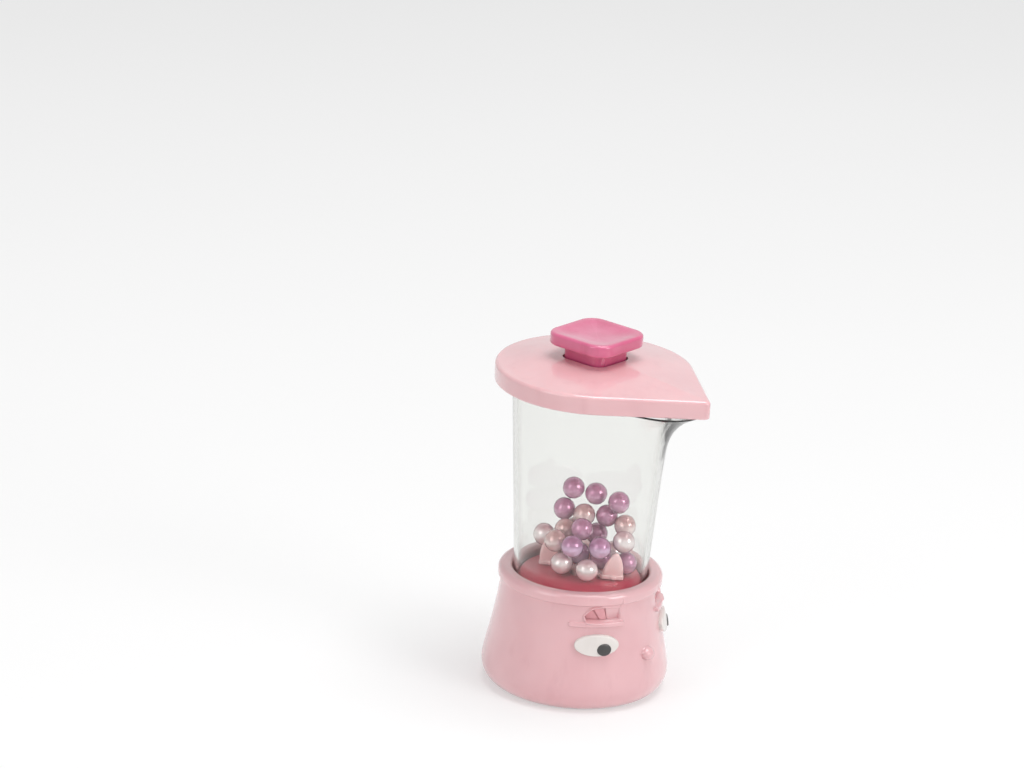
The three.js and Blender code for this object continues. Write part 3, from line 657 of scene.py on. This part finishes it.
def pearl(name, main, light, dark, edge, reflection_level):
    """Pearl lacquer on a bead: swirled, with a painted reflection that lightens its lower part, a painted
    dark sheen at its rim and a clear gloss.
    """
    t = Surface(name)
    main, light, dark, edge = colour(*main), colour(*light), colour(*dark), colour(*edge)
    swirl = t.spread(t.noise(420, 3.0, 0.6), *narrow, 0.0, 0.7)
    normal = t.node("ShaderNodeNewGeometry").outputs["Normal"]
    upward = t.node("ShaderNodeSeparateXYZ", {"Vector": normal}).outputs["Z"]
    # Painted reflection: the downward-facing part is lightened towards the light colour, as if the floor
    # were reflected there.
    painted_reflection = t.spread(upward, reflection_level - 0.3, reflection_level + 0.2, 0.7, 0.0)
    tint = t.mix(painted_reflection, t.mix(swirl, main, dark), light)
    # Painted sheen: the rim seen edge-on is darkened towards the edge colour, as if dark surroundings were
    # reflected there.
    painted_rim_sheen = t.spread(t.facing(), 0.5, 0.85, 0.0, 1.0)
    t.shade(Base_Color=t.mix(painted_rim_sheen, tint, edge), Roughness=t.spread(t.noise(1500, 4.0), *broad, 0.1, 0.2))
    t.shade(Normal=t.bump(t.noise(900, 3.0), 0.08, 0.0002))
    t.shade(Metallic=0.3, Coat_Weight=1.0, Coat_Roughness=0.03)
    return t.material


def clear(name, tint, edge):
    """Clear plastic that lets the lamps light what is inside, with fine flow marks, dust and painted shade
    that darkens its glancing rims.
    """
    t = Surface(name)
    # Painted shade: glancing rims are darkened towards the edge colour, as if dark surroundings were
    # refracted there.
    rim = t.spread(t.facing(), 0.62, 0.96, 0.0, 1.0)
    dust = t.spread(t.noise(900, 5.0, 0.65), 0.45, 0.8, 0.015, 0.07)
    waves = t.bump(t.noise(70, 2.0, 0.4, (1.0, 1.0, 0.25)), 0.25, 0.0004)
    specks = t.bump(t.noise(2600, 2.0, 0.5), 0.03, 0.00005, waves)
    t.shade(Base_Color=t.mix(rim, tint, edge), Roughness=dust, Normal=specks)
    t.shade(Transmission_Weight=1.0, IOR=clear_ior)
    shadow = t.node("ShaderNodeLightPath").outputs["Is Shadow Ray"]
    through = t.node("ShaderNodeBsdfTransparent", {"Color": shadow_tint}).outputs["BSDF"]
    t.mix_shaders(shadow, t.shader.outputs["BSDF"], through, t.output["Surface"])
    depth = t.node("ShaderNodeVolumeAbsorption", depth_look)
    t.feed(t.output["Volume"], depth.outputs["Volume"])
    return t.material


def metal(name, tint, dark):
    """Plated steel with turning marks and a few dull specks."""
    t = Surface(name)
    blot = t.spread(t.noise(1500, 4.0, 0.6), 0.45, 0.75, 0.0, 1.0)
    t.shade(Base_Color=t.mix(blot, colour(*tint), colour(*dark)), Metallic=1.0)
    t.shade(Roughness=t.spread(t.noise(2500, 5.0), *broad, 0.29, 0.45))
    t.shade(Normal=t.bump(t.noise(6000, 2.0, 0.5, (1.0, 1.0, 0.1)), 0.2, 0.00005))
    return t.material


# Plastics: main, light and dark colours; the dark colour also tints each plastic's painted crease shade.
pale_pink = plastic("pale_pink", (226, 174, 179), (231, 183, 187), (214, 156, 163),
                    rough=0.34, grain=0.35, coat=1.0, soft=0.1)
rotor_pink = plastic("rotor_pink", (243, 200, 200), (247, 210, 210), (234, 186, 188),
                     rough=0.36, grain=0.35, coat=0.4, soft=0.1)
dark_pink = plastic("dark_pink", (206, 78, 124), (218, 102, 144), (186, 54, 100),
                    rough=0.34, grain=0.3, coat=1.0)
deep_pink = plastic("deep_pink", (196, 66, 86), (206, 84, 102), (168, 44, 64),
                    rough=0.35, grain=0.3, coat=0.1)
lug_pink = plastic("lug_pink", (222, 156, 163), (230, 168, 174), (200, 124, 134),
                   rough=0.36, grain=0.3, coat=0.2)
eye_white = plastic("eye_white", (229, 222, 218), (230, 225, 220), (212, 205, 199),
                    rough=0.33, grain=0.2, coat=0.6)
pupil_black = plastic("pupil_black", (52, 49, 49), (66, 62, 62), (42, 39, 40),
                      rough=0.33, grain=0.2, coat=0.6)
nylon = plastic("nylon", (226, 221, 208), (236, 232, 222), (212, 206, 190),
                rough=0.5, grain=0.5, coat=0.0)
steel = metal("steel", (190, 192, 196), (140, 140, 144))
# The clear plastic's second colour is its painted dark rim.
clear_plastic = clear("clear_plastic", (0.98, 0.98, 0.97, 1.0), (0.66, 0.63, 0.61, 1.0))
# Each look gives main, light, dark and edge colours and where the painted reflection starts on the normal's
# Z; light is the painted reflection, edge the painted dark rim, dark the swirl.
pearl_looks = {
    "purple": ((198, 138, 170), (232, 196, 220), (172, 104, 142), (122, 64, 98), -0.02),
    "lilac": ((190, 128, 168), (244, 224, 254), (164, 104, 148), (122, 70, 110), 0.2),
    "blush": ((218, 178, 176), (255, 246, 244), (196, 150, 150), (164, 120, 120), 0.25),
    "white": ((226, 192, 196), (255, 254, 253), (206, 164, 170), (168, 126, 134), 0.6),
}
pearls = {kind: pearl(f"pearl_{kind}", *look) for kind, look in pearl_looks.items()}


# Base shell


belly_table = bezier([
    (widest_radius, widest_height),
    (widest_radius, widest_height + belly_low_rise),
    (neck_radius + belly_top_spread, crease_height - belly_top_drop),
    (neck_radius, crease_height),
], 400)


def wall_radius(height):
    """Outer radius of the belly at a height between its widest ring and the rim's crease."""
    if height <= widest_height:
        return widest_radius
    if height >= crease_height:
        return neck_radius
    low, high = 0, len(belly_table) - 1
    while high - low > 1:
        middle = (low + high) // 2
        if belly_table[middle][1] < height:
            low = middle
        else:
            high = middle
    (r0, z0), (r1, z1) = belly_table[low], belly_table[high]
    return r0 + (r1 - r0) * (height - z0) / (z1 - z0)


def box_distance(x, y, half, corner):
    """Distance from a rounded box's outline, negative inside it."""
    dx = abs(x) - half[0] + corner
    dy = abs(y) - half[1] + corner
    outside = math.hypot(max(dx, 0.0), max(dy, 0.0))
    return outside + min(max(dx, dy), 0.0) - corner


def outline_distance(x, y, outline):
    """Distance from a closed outline, negative inside it."""
    inside = False
    least = 1e9
    count = len(outline)
    for i in range(count):
        ax, ay = outline[i]
        bx, by = outline[(i + 1) % count]
        ex, ey = bx - ax, by - ay
        share = ((x - ax) * ex + (y - ay) * ey) / (ex * ex + ey * ey)
        share = min(max(share, 0.0), 1.0)
        least = min(least, math.hypot(x - ax - ex * share, y - ay - ey * share))
        if (ay > y) != (by > y) and x < ax + ex * (y - ay) / (by - ay):
            inside = not inside
    return -least if inside else least


window_arch = bezier(window_bend, 10)
window_outline = window_arch + window_line
hole_outline = window_arch + hole_line


def relief(angle, height):
    """How far the moulded face stands out from the belly, or into it."""
    out = 0.0
    wall = wall_radius(height)
    across = (face_angle - abs(angle)) * wall
    bar = box_distance(across, height - brow_height, brow_half, brow_half[1] * brow_corner)
    swell = brow_swell[0] + brow_swell[1] * smooth(0.5 + across / brow_swell_length)
    out += brow_proud * swell * smooth(0.5 - bar / brow_edge)
    left, right, low, high = window_zone
    if left < across < right and low < height < high:
        window = outline_distance(across, height, window_outline)
        lean = min(max((window_high - height) / (window_high - window_low), 0.0), 1.0)
        depth = window_depth + window_lean * lean
        out -= depth * smooth(0.5 - window / window_edge)
        hole = outline_distance(across, height, hole_outline)
        lip = smooth(1 - abs(hole - lip_width) / lip_width) * smooth((lip_reach - across) / lip_fade)
        out += lip_proud * lip * smooth((hole + lip_base) / lip_base)
        out -= (hole_depth - depth) * smooth(0.5 - hole / hole_edge)
    if abs(angle) < nose_zone:
        from_nose = min(math.hypot((angle - nose_angle) * wall / nose_half[0],
                                   (height - nose_height) / nose_half[1]), 1.0)
        out += nose_proud * (1 - from_nose**nose_fullness) ** 0.5
    if seam_low < height < seam_top:
        fade = smooth((seam_top - height) / seam_fade)
        out -= seam_depth * fade * smooth(1 - abs(across - window_end) / seam_half_width)
    return out


def stepped(spans):
    """Values through spans of low, high and step, without the last high."""
    values = []
    for low, high, step in spans:
        count = max(1, round((high - low) / step))
        values += [low + (high - low) * k / count for k in range(count)]
    return values


def pot_angles():
    right = [math.radians(angle) for angle in stepped(angle_steps)]
    left = [-angle for angle in reversed(right) if angle > 0]
    return left + right + [math.pi]


def pot_shell():
    belly = [(wall_radius(height), height) for height in stepped(level_steps)]
    foot = [
        (foot_radius + (widest_radius - foot_radius) * math.sin(turn), widest_height * (1 - math.cos(turn)))
        for turn in (math.pi / 2 * k / 18 for k in range(18))
    ]
    rim = rounded(
        [(neck_radius, crease_height - crease_drop), (neck_radius, crease_height),
         (lip_radius, crease_height + lip_step), (lip_radius, rim_top), (rim_inner_radius, rim_top),
         (rim_inner_radius, shoulder_height)], rim_corners, 10, closed=False)[1:]
    inside = [(wall_radius(height) - shell_wall, height) for height in inner_levels]
    opening = [(opening_radius + spread, height) for spread, height in opening_edge]
    profile = (
        opening + foot + belly + rim + [(wall_radius(crease_height) - shell_wall, shoulder_height)] + inside
        + [(opening_radius, cover_top + fit_gap)]
    )
    first_belly = len(opening) + len(foot)
    last_outer = first_belly + len(belly) + len(rim) - 2
    angles = pot_angles()
    rings = []
    for i, (radius, height) in enumerate(profile):
        on_face = first_belly <= i < last_outer and radius > rim_outside
        rings.append(polar_ring(angles, lambda a: radius + (relief(a, height) if on_face else 0.0), height))
    return loft(rings, loop=True)


piece("pot", pot_shell(), pale_pink, "housing", ["base_shell"], crease=75)


# Eyes


def face_point(side, across, height, out):
    wall = wall_radius(height)
    return polar(side * (face_angle - across / wall), wall + out, height)


def oval_pad(side, centre, half, low, high, edge, count=96, dome=0.0):
    """An oval pad that follows the wall, with a rounded edge and a slight dome."""
    sections = [(0.0, 1.0, low)]
    sections += [(edge * back, 1.0, high - edge * down) for back, down in quarter(8)]
    sections += [(edge, share, high + dome * (1 - share * share)) for share in dome_shares]
    return loft([[
        face_point(side, centre[0] + (half[0] - inset) * share * math.cos(turn),
                   centre[1] + (half[1] - inset) * share * math.sin(turn), out)
        for turn in around(count)
    ] for inset, share, out in sections])


for side, word in ((1, "left"), (-1, "right")):
    white = oval_pad(side, (0.0, eye_height), eye_half, -embed, eye_proud, eye_edge, dome=eye_dome)
    piece(f"eye_{word}", white, eye_white, "housing", [f"eye_white_{word}"], crease=50)
    black = oval_pad(side, (-side * pupil_aside, eye_height - pupil_drop), pupil_half, pupil_low,
                     eye_proud + pupil_proud, pupil_edge, 48, pupil_dome)
    piece(f"pupil_disc_{word}", black, pupil_black, "housing", [f"pupil_{word}"], crease=50)


# Jar


def spout_shape(angle):
    turn = abs(math.atan2(math.sin(angle), math.cos(angle)))
    return math.cos(min(turn / spout_half_angle, 1.0) * math.pi / 2) ** 2


def jar_radius(angle, height):
    round_part = jar_bottom_radius + jar_flare * (height - jar_bottom) / (jar_top - jar_bottom)
    flare = math.exp((height - jar_top) / spout_flare)
    return round_part + spout_length * flare * spout_shape(angle)


def jar_ring(angles, height, inset):
    return polar_ring(angles, lambda angle: jar_radius(angle, height) - inset, height)


def jar_shape():
    angles = around(256, jar_crowd)
    heights = [jar_bottom + (jar_top - jar_bottom) * share for share in jar_levels]
    rise = jar_wall * jar_lip_rise
    rings = [jar_ring(angles, height, 0.0) for height in heights]
    for k in range(9):
        turn = math.pi * k / 8
        inset = jar_wall / 2 * (1 - math.cos(turn))
        rings.append(jar_ring(angles, jar_top - rise + rise * math.sin(turn), inset))
    rings += [jar_ring(angles, height, jar_wall) for height in reversed(heights)]
    chamber = jar_bottom_radius - jar_wall
    foot = rounded(
        [(chamber, jar_bottom), (chamber, flange_bottom), (flange_radius, flange_bottom),
         (flange_radius, flange_top), (jar_bottom_radius, flange_top), (jar_bottom_radius, jar_bottom)],
        [0, 0.15, 0.2, 0.2, 0.2, 0], 4, closed=False)[1:-1]
    rings += [[polar(angle, radius, height) for angle in angles] for radius, height in foot]
    return loft(rings, loop=True)


piece("jar_clear", jar_shape(), clear_plastic, "housing", ["jar"], crease=50)


# Jar floor and latches


def lug(side):
    """The latch in the window: two faces at different depths with a groove between them."""
    def plate(outline, out):
        return [face_point(side, across, height, out) for across, height in outline]

    root = -2 * shell_wall
    parts = [loft([plate(backing, root), plate(backing, backing_depth)])]
    for outline, out in lug_depths:
        corners = [lug_corner] * len(outline)
        shape = rounded(outline, corners, 3)
        middle = [sum(values) / len(outline) * (1 - lug_top_share) for values in zip(*outline)]
        top = rounded([(a * lug_top_share + middle[0], h * lug_top_share + middle[1]) for a, h in outline],
                      corners, 3)
        parts.append(loft([plate(shape, root), plate(shape, out - lug_edge), plate(top, out)]))
    return merged(*parts)


def floor_shape():
    roof = floor_top - floor_thickness
    skirt = floor_radius - floor_thickness
    disc = lathe(rounded(
        [(bore_radius, floor_top), (floor_radius, floor_top), (floor_radius, floor_flange_top),
         (flange_radius, floor_flange_top), (flange_radius, floor_flange_bottom),
         (skirt, floor_flange_bottom), (skirt, roof), (hub_radius, roof), (hub_radius, hub_bottom),
         (bore_radius, hub_bottom)],
        [0.3, 0.35, 0.3, 0.2, 0.2, 0.2, 0.4, 0.5, 0.2, 0.3], 5), 160)
    boss = tube(screw_hole_radius, boss_radius, boss_bottom, roof + boss_root, [0.2, 0.2, 0, 0], 4, 40)
    return merged(disc, *(on_circle(boss, angle) for angle in post_angles))


piece("jar_base", floor_shape(), deep_pink, "housing", ["jar_floor"], crease=40)
for side, word in ((1, "left"), (-1, "right")):
    piece(f"latch_lug_{word}", lug(side), lug_pink, "housing", ["jar_floor"], crease=40)


# Rotor


def fin_outline():
    foot = [(-0.5, 0.0), (0.5, 0.0)]
    right = bezier([(0.5, 0.0), (0.52, 0.4), (0.47, 0.72), (0.26, 0.97)], 14)[1:]
    top = bezier([(0.26, 0.97), (0.2, 1.02), (0.08, 1.02), (-0.02, 0.93)], 8)[1:]
    left = bezier([(-0.02, 0.93), (-0.22, 0.74), (-0.44, 0.34), (-0.5, 0.0)], 14)[1:-1]
    return [(fin_length * a, fin_height * b) for a, b in foot + right + top + left]


def fin_shape(index):
    """A petal fin that thins towards its edges, on a low foot."""
    middle = (fin_middle[0] * fin_length, fin_middle[1] * fin_height)
    layers = []
    for side, sections in ((-1, fin_layers), (1, reversed(fin_layers))):
        for share, thick in sections:
            layers.append([
                (middle[0] + (x - middle[0]) * share, side * fin_thickness / 2 * thick,
                 middle[1] + (z - middle[1]) * share + bar_high - fin_drop) for x, z in fin_outline()
            ])
    foot = stack(rounded(rectangle(*fin_foot_half), [fin_foot_corner] * 4, 5), fin_foot_layers)
    fin = moved(merged(loft(layers), foot), fin_offset, turn=fin_sweep)
    return moved(fin, turn=math.pi * index)


def rotor_shape():
    straight = bar_half[0] - bar_half[1]
    outline = []
    for side in (1, -1):
        for k in range(25):
            turn = math.pi * k / 24 - side * math.pi / 2
            outline.append((side * straight + bar_half[1] * math.cos(turn), bar_half[1] * math.sin(turn)))
    dome = lathe([(radius, bar_high + rise) for radius, rise in rotor_dome], 48, closed=False)
    stem = rod(stem_radius, key_top, bar_low + stem_root, edge=0.1)
    key = moved(rod(stem_radius, stem_low, key_top, 6), turn=math.pi / 6)
    whole = merged(stack(outline, bar_layers), fin_shape(0), fin_shape(1), dome, stem, key)
    return moved(whole, turn=rotor_angle - math.pi / 2)


piece("rotor_moulding", rotor_shape(), rotor_pink, "turning_set", ["rotor"], crease=50)


# Beads


def bead_shape(seed):
    """A moulded bead: a gate mark and a surface that isn't quite true."""
    verts, faces = [(0.0, 0.0, -bead_radius)], []
    for i in range(1, bead_rows):
        tilt = math.pi * i / bead_rows
        for turn in around(bead_columns):
            way = Vector((math.sin(tilt) * math.cos(turn), math.sin(tilt) * math.sin(turn), -math.cos(tilt)))
            wobble = bead_wobble * noise.noise(way * bead_wave + Vector((seed, 0.0, 0.0)))
            verts.append(tuple(way * (bead_radius * (bead_share + wobble))))
    verts.append((0.0, 0.0, bead_radius * gate_share))
    last = 1 + (bead_rows - 2) * bead_columns
    for j in range(bead_columns):
        k = (j + 1) % bead_columns
        faces.append((0, 1 + k, 1 + j))
        for a in range(1, last, bead_columns):
            b = a + bead_columns
            faces.append((a + j, a + k, b + k, b + j))
        faces.append((last + j, last + k, len(verts) - 1))
    return verts, faces


bead_nodes = sorted(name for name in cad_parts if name.startswith("bead_"))
bead_colours = (
    "white white lilac lilac purple white blush purple purple blush blush blush white purple purple purple "
    "purple purple blush purple lilac white blush"
).split()
for number, (node, kind) in enumerate(zip(bead_nodes, bead_colours)):
    low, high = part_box(node)
    middle = [(a + b) / 2 / MM for a, b in zip(low, high)]
    middle[1] -= AXIS_Y / MM
    tip = Matrix.Rotation(bead_turns[0] * number, 3, "X") @ Matrix.Rotation(bead_turns[1] * number, 3, "Y")
    verts, faces = bead_shape(number * bead_seed)
    placed = [tuple(tip @ Vector(v) + Vector(middle)) for v in verts]
    piece(f"pearl_{number + 1:02d}", (placed, faces), pearls[kind], "turning_set", [node],
          crease=80)


# Screws and washers


def screw_mesh(low, tip, place=moved):
    """A pan head screw that points up, with a cross recess."""
    head_top = low + head_height
    profile = rounded(
        [(0, low), (head_radius * 0.9, low), (head_radius, head_top), (shank_radius, head_top),
         (shank_radius, tip - shank_radius), (0, tip)], [0, 0.4, 0.08, 0.06, 0.05, 0], 5, closed=False)
    span, slot = head_radius * recess_span, head_radius * recess_width
    layers = [(1, 1, low - 0.2), (*recess_taper, low + recess_depth)]
    cross = [stack(rectangle(*half), layers) for half in ((span, slot), (slot, span))]
    return boolean(place(lathe(profile, 40, closed=False)), [place(part) for part in cross])


def washer_shape(inner, outer, low, high):
    return tube(inner, outer, low, high, [0.06] * 4, 3, 64)


for i, angle in enumerate(post_angles):
    screw = screw_mesh(*cover_screw, lambda part: on_circle(part, angle))
    piece(f"base_fixing_{i + 1}", screw, steel, "housing", [f"cover_screw_{i + 1}"])
piece("rotor_fixing", screw_mesh(*rotor_screw), steel, "turning_set", ["rotor_screw"])
piece("knob_fixing", screw_mesh(*knob_screw), steel, "push_knob", ["knob_screw"])
piece("stem_washer", washer_shape(*thrust_washer), nylon, "housing", ["thrust_washer"])
piece("knob_seat_washer", washer_shape(*knob_washer), nylon, "push_knob", ["knob_washer"])


# Bottom cover and finger dial


def cover_mesh():
    plate = tube(cover_hole_radius, cover_radius, cover_low, cover_top, [0.25, 0.25, 0.1, 0.1], 4, 144)
    post = rod(post_radius, cover_top - post_root, post_top)
    seat = rod(screw_seat_radius, cover_low - overrun, screw_seat_top)
    way = rod(screw_clear_radius, cover_low, post_top + overrun, 32)
    joined = boolean(plate, [on_circle(post, angle) for angle in post_angles], "UNION")
    return boolean(joined, [on_circle(part, angle) for angle in post_angles for part in (seat, way)])


piece("cover_plate", cover_mesh(), pale_pink, "housing", ["bottom_cover"], bevel=cover_bevel)


def dial_mesh():
    body = lathe(rounded(
        [(0, dish_roof), (dish_radius, dish_roof), (dish_radius, dial_low), (dial_radius, dial_low),
         (dial_radius, dial_flange_low), (dial_flange_radius, dial_flange_low),
         (dial_flange_radius, dial_flange_high), (dial_hub_radius, dial_flange_high),
         (dial_hub_radius, dial_hub_top), (0, dial_hub_top)],
        [0, 0.4, 0.3, 0.35, 0.1, 0.1, 0.1, 0.3, 0.1, 0], 5, closed=False), 144, closed=False)
    bar = rounded(rectangle(grip_reach, grip_half_width), [grip_corner] * 4, 3)
    boss = rod(dial_boss_radius, dial_low, dish_roof + embed, 64, edge=0.25)
    joined = boolean(body, [stack(bar, grip_layers), boss], "UNION")
    seat = lathe([(0, dial_low - overrun), (screw_seat_radius + dial_seat_flare, dial_low - overrun),
                  (screw_seat_radius, dial_low + dial_seat_edge), (screw_seat_radius, dial_seat_top),
                  (0, dial_seat_top)], 48, closed=False)
    way = rod(screw_clear_radius, dial_low, stem_low, 32)
    socket = moved(rod(socket_radius, stem_low - fit_gap, key_top, 6),
                   turn=math.pi / 6 + rotor_angle - math.pi / 2)
    mouth = rod(bore_radius, key_top - 0.2, dial_hub_top + overrun)
    return boolean(joined, [seat, way, socket, mouth])


piece("dial", dial_mesh(), dark_pink, "turning_set", ["finger_dial"], crease=35)


# Lid


def drop_radius(angle, inset=0.0):
    turn = abs(math.atan2(math.sin(angle), math.cos(angle)))
    radius = lid_radius - inset
    tip = lid_tip_radius
    tip_angle = math.acos((lid_radius - tip) / (lid_reach - tip))
    tip_centre = (radius - tip) / math.cos(tip_angle)
    tip_turn = math.atan2(tip * math.sin(tip_angle), tip_centre + tip * math.cos(tip_angle))
    if turn < tip_turn:
        return tip_centre * math.cos(turn) + math.sqrt(tip**2 - (tip_centre * math.sin(turn)) ** 2)
    if turn < tip_angle:
        return radius / math.cos(turn - tip_angle)
    return radius


def square_radius(angle, half, corner):
    corner_turn = math.pi / 4
    turn = abs((angle % (2 * corner_turn)) - corner_turn)
    from_side = corner_turn - turn
    centre = half - corner
    if half * math.tan(from_side) <= centre:
        return half / math.cos(from_side)
    reach = centre * math.sqrt(2)
    return reach * math.cos(turn) + math.sqrt(corner**2 - (reach * math.sin(turn)) ** 2)


def dome_rise(share):
    """How high the lid's top stands at a share of the way out from the knob."""
    return lid_dome * math.sin(math.pi / 2 * (1 - share)) ** lid_dome_power


def lid_shape():
    angles = around(288, lid_crowd)
    way_half, way_corner = neck_half + fit_gap, neck_corner + fit_gap

    def ring(share, inset, height):
        def radius_at(angle):
            outer = drop_radius(angle, inset)
            inner = square_radius(angle, way_half, way_corner)
            return inner + (outer - inner) * share
        return polar_ring(angles, radius_at, height)

    rings = [ring(1, lid_low_edge * down, lid_low + lid_low_edge * back) for back, down in quarter(6)]
    rings += [ring(1, lid_top_edge * back, lid_high - lid_top_edge * down) for back, down in quarter(8)]
    for k in range(1, 25):
        share = 1 - k / 24
        rings.append(ring(share, lid_top_edge, lid_high + dome_rise(share)))
    for k in range(0, 25, 3):
        share = k / 24
        rings.append(ring(share, lid_wall, lid_high - lid_wall + dome_rise(share)))
    rings.append(ring(1, lid_wall, lid_low))
    return loft(rings, loop=True)


piece("lid_cap", lid_shape(), pale_pink, "housing", ["lid_shell"], crease=50)


def lid_plate_shape():
    angles = around(288, lid_crowd)
    inset = lid_wall + fit_gap

    def drop(extra, height):
        return polar_ring(angles, lambda angle: drop_radius(angle, inset + extra), height)

    def bore(height):
        return [polar(angle, well_bore, height) for angle in angles]

    plate = loft([bore(lid_low + 0.1), drop(0.1, lid_low), drop(0, lid_low + 0.15), drop(0, plate_top),
                  bore(plate_top)], loop=True)
    plug = tube(plug_inner, plug_outer, lid_low - plug_drop, lid_low + embed, [0.3, 0.3, 0, 0], 5, 144)
    well = lathe(rounded(
        [(stem_way, well_bottom), (well_radius, well_bottom), (well_radius, lid_low + well_rise),
         (well_bore, lid_low + well_rise), (well_bore, well_floor), (stem_way, well_floor)],
        [0.15, 0.4, 0, 0, 0.2, 0.1], 5), 96)
    return merged(plate, plug, well)


piece("lid_underside", lid_plate_shape(), pale_pink, "housing", ["lid_plate"], crease=40)


# Knob


def square_ring(half, corner, grow, height, count=128):
    """A rounded square, larger all round by what it grows."""
    angles = [TURN * (j + 0.5) / count for j in range(count)]
    return polar_ring(angles, lambda angle: square_radius(angle, half + grow, corner + grow), height)


def knob_mesh():
    neck, cap = (neck_half, neck_corner), (cap_half, cap_corner)
    rings = [square_ring(*neck, -neck_lead, neck_low), square_ring(*neck, 0, neck_low + neck_lead)]
    rings += [square_ring(*neck, neck_flare * back, cap_low - neck_flare * down)
              for back, down in quarter(8)]
    rings.append(square_ring(*cap, -cap_under, cap_low))
    rings += [square_ring(*cap, -cap_low_edge * down, cap_low + cap_low_edge * back)
              for back, down in quarter(6)]
    rings += [square_ring(*cap, -cap_top_edge * back, knob_top - cap_top_edge * down)
              for back, down in quarter(7)]
    dish_half = cap_half - cap_rim - dish_edge
    dish_corner = cap_corner * dish_half / cap_half
    for k in range(1, 15):
        share = 1 - k / 15
        depth = cap_dish * (1 - share**dish_power)
        rings.append(square_ring(dish_half * share, dish_corner * share, 0, knob_top - depth))
    shell = boolean(loft(rings), [rod(spring_chamber, neck_low - overrun, spring_roof, 64)])
    stem = rod(knob_stem_radius, knob_stem_low, spring_roof + knob_stem_root, edge=0.15)
    return boolean(shell, [stem], "UNION")


piece("knob_cap", knob_mesh(), dark_pink, "push_knob", ["knob"], crease=50)


def spring_shape():
    """A coil whose first and last turns lie close together, as on a spring that stands on its ends."""
    low, high = well_floor + fit_gap + wire_radius, spring_roof - fit_gap - wire_radius
    steps, sides = 40, 12
    close = (2 * wire_radius + closed_turn_gap) / steps
    opening = [smooth((k / steps - closed_turns) / opening_turns)
               * smooth((coil_turns - closed_turns - k / steps) / opening_turns)
               for k in range(coil_turns * steps)]
    extra = (high - low - close * coil_turns * steps) / sum(opening)
    height, rings = low, []
    for k in range(coil_turns * steps + 1):
        turn = TURN * k / steps
        ring = []
        for side in around(sides):
            radius = coil_radius + wire_radius * math.cos(side)
            rise = wire_radius * math.sin(side)
            ring.append((radius * math.cos(turn), radius * math.sin(turn), height + rise))
        rings.append(ring)
        if k < len(opening):
            height += close + extra * opening[k]
    return loft(rings)


spring = piece("spring_coil", spring_shape(), steel, "housing", ["knob_spring"], crease=50)
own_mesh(spring)


# Floor, light and camera


floor_half = 3.0
floor_glow = 0.45
world_light = 0.38
lamp_target = (0.0, 0.0, 0.035)


def floor_material():
    t = Surface("floor_pale")
    tint = t.mix(t.spread(t.noise(3, 3.0), *broad, 0.0, 1.0), colour(246, 246, 246), colour(250, 250, 250))
    t.shade(Base_Color=tint, Roughness=0.9, Normal=t.bump(t.noise(900, 2.0), 0.05, 0.0002))
    white = t.node("ShaderNodeEmission", {"Strength": 1.0})
    share = t.math("MULTIPLY", t.seen(), floor_glow)
    t.mix_shaders(share, t.shader.outputs["BSDF"], white.outputs["Emission"], t.output["Surface"])
    return t.material


floor_mesh = bpy.data.meshes.new("floor")
floor_mesh.from_pydata([(x, y, 0) for x, y in rectangle(floor_half, floor_half)], [], [(0, 1, 2, 3)])
floor_mesh.materials.append(floor_material())
floor = add("floor", floor_mesh)

world = bpy.data.worlds.new("studio")
bpy.context.scene.world = world
world.use_nodes = True
sky = Tree(world.node_tree)
back = sky.tree.nodes["Background"]
back.inputs["Color"].default_value = (1.0, 1.0, 1.0, 1.0)
back.inputs["Strength"].default_value = world_light
plain = sky.node("ShaderNodeBackground", {"Strength": 1.0})
sky.mix_shaders(sky.seen(), back.outputs["Background"], plain.outputs["Background"],
                sky.tree.nodes["World Output"].inputs["Surface"])


def lamp(name, place, size, power):
    """A rectangular lamp aimed at the middle of the toy."""
    data = bpy.data.lights.new(name, "AREA")
    data.shape = "RECTANGLE"
    data.size, data.size_y = size
    data.energy = power
    thing = add(name, data)
    thing.location = place
    thing.rotation_mode = "QUATERNION"
    thing.rotation_quaternion = (Vector(lamp_target) - Vector(place)).to_track_quat("-Z", "Y")


lamp("top", (0.05, -0.1, 0.8), (0.5, 0.5), 3.9)
lamp("right", (0.05, -0.75, 0.4), (0.35, 0.35), 2.0)
lamp("left", (-0.7, 0.1, 0.35), (0.4, 0.5), 1.1)

# The camera, from outlines in the photograph
camera_azimuth = math.radians(51.138)
camera_elevation = math.radians(18.925)
camera_roll = math.radians(-3.652)
camera_distance = 0.9165
focal_pixels = 4555.175
image_width, image_height = 1024, 768
axis_foot_pixel = (572.965, 678.033)

forward = Vector((
    math.sin(camera_azimuth) * math.cos(camera_elevation),
    math.cos(camera_azimuth) * math.cos(camera_elevation),
    -math.sin(camera_elevation),
))
level_right = Vector((math.cos(camera_azimuth), -math.sin(camera_azimuth), 0.0))
level_down = forward.cross(level_right)
c, s = math.cos(camera_roll), math.sin(camera_roll)
right = level_right * c + level_down * s
down = level_down * c - level_right * s
offset = (
    right * ((axis_foot_pixel[0] - image_width / 2) / focal_pixels * camera_distance)
    + down * ((axis_foot_pixel[1] - image_height / 2) / focal_pixels * camera_distance)
    + forward * camera_distance
)
camera_data = bpy.data.cameras.new("camera")
camera_data.sensor_width = 36.0
camera_data.lens = focal_pixels / image_width * camera_data.sensor_width
camera_data.clip_start = 0.05
camera_data.clip_end = 20.0
camera = add("camera", camera_data)
camera.rotation_mode = "QUATERNION"
camera.rotation_quaternion = Matrix((right, -down, -forward)).transposed().to_quaternion()
camera.location = Vector((0.0, AXIS_Y, 0.0)) - offset
bpy.context.scene.camera = camera
bpy.context.scene.view_settings.view_transform = "Standard"
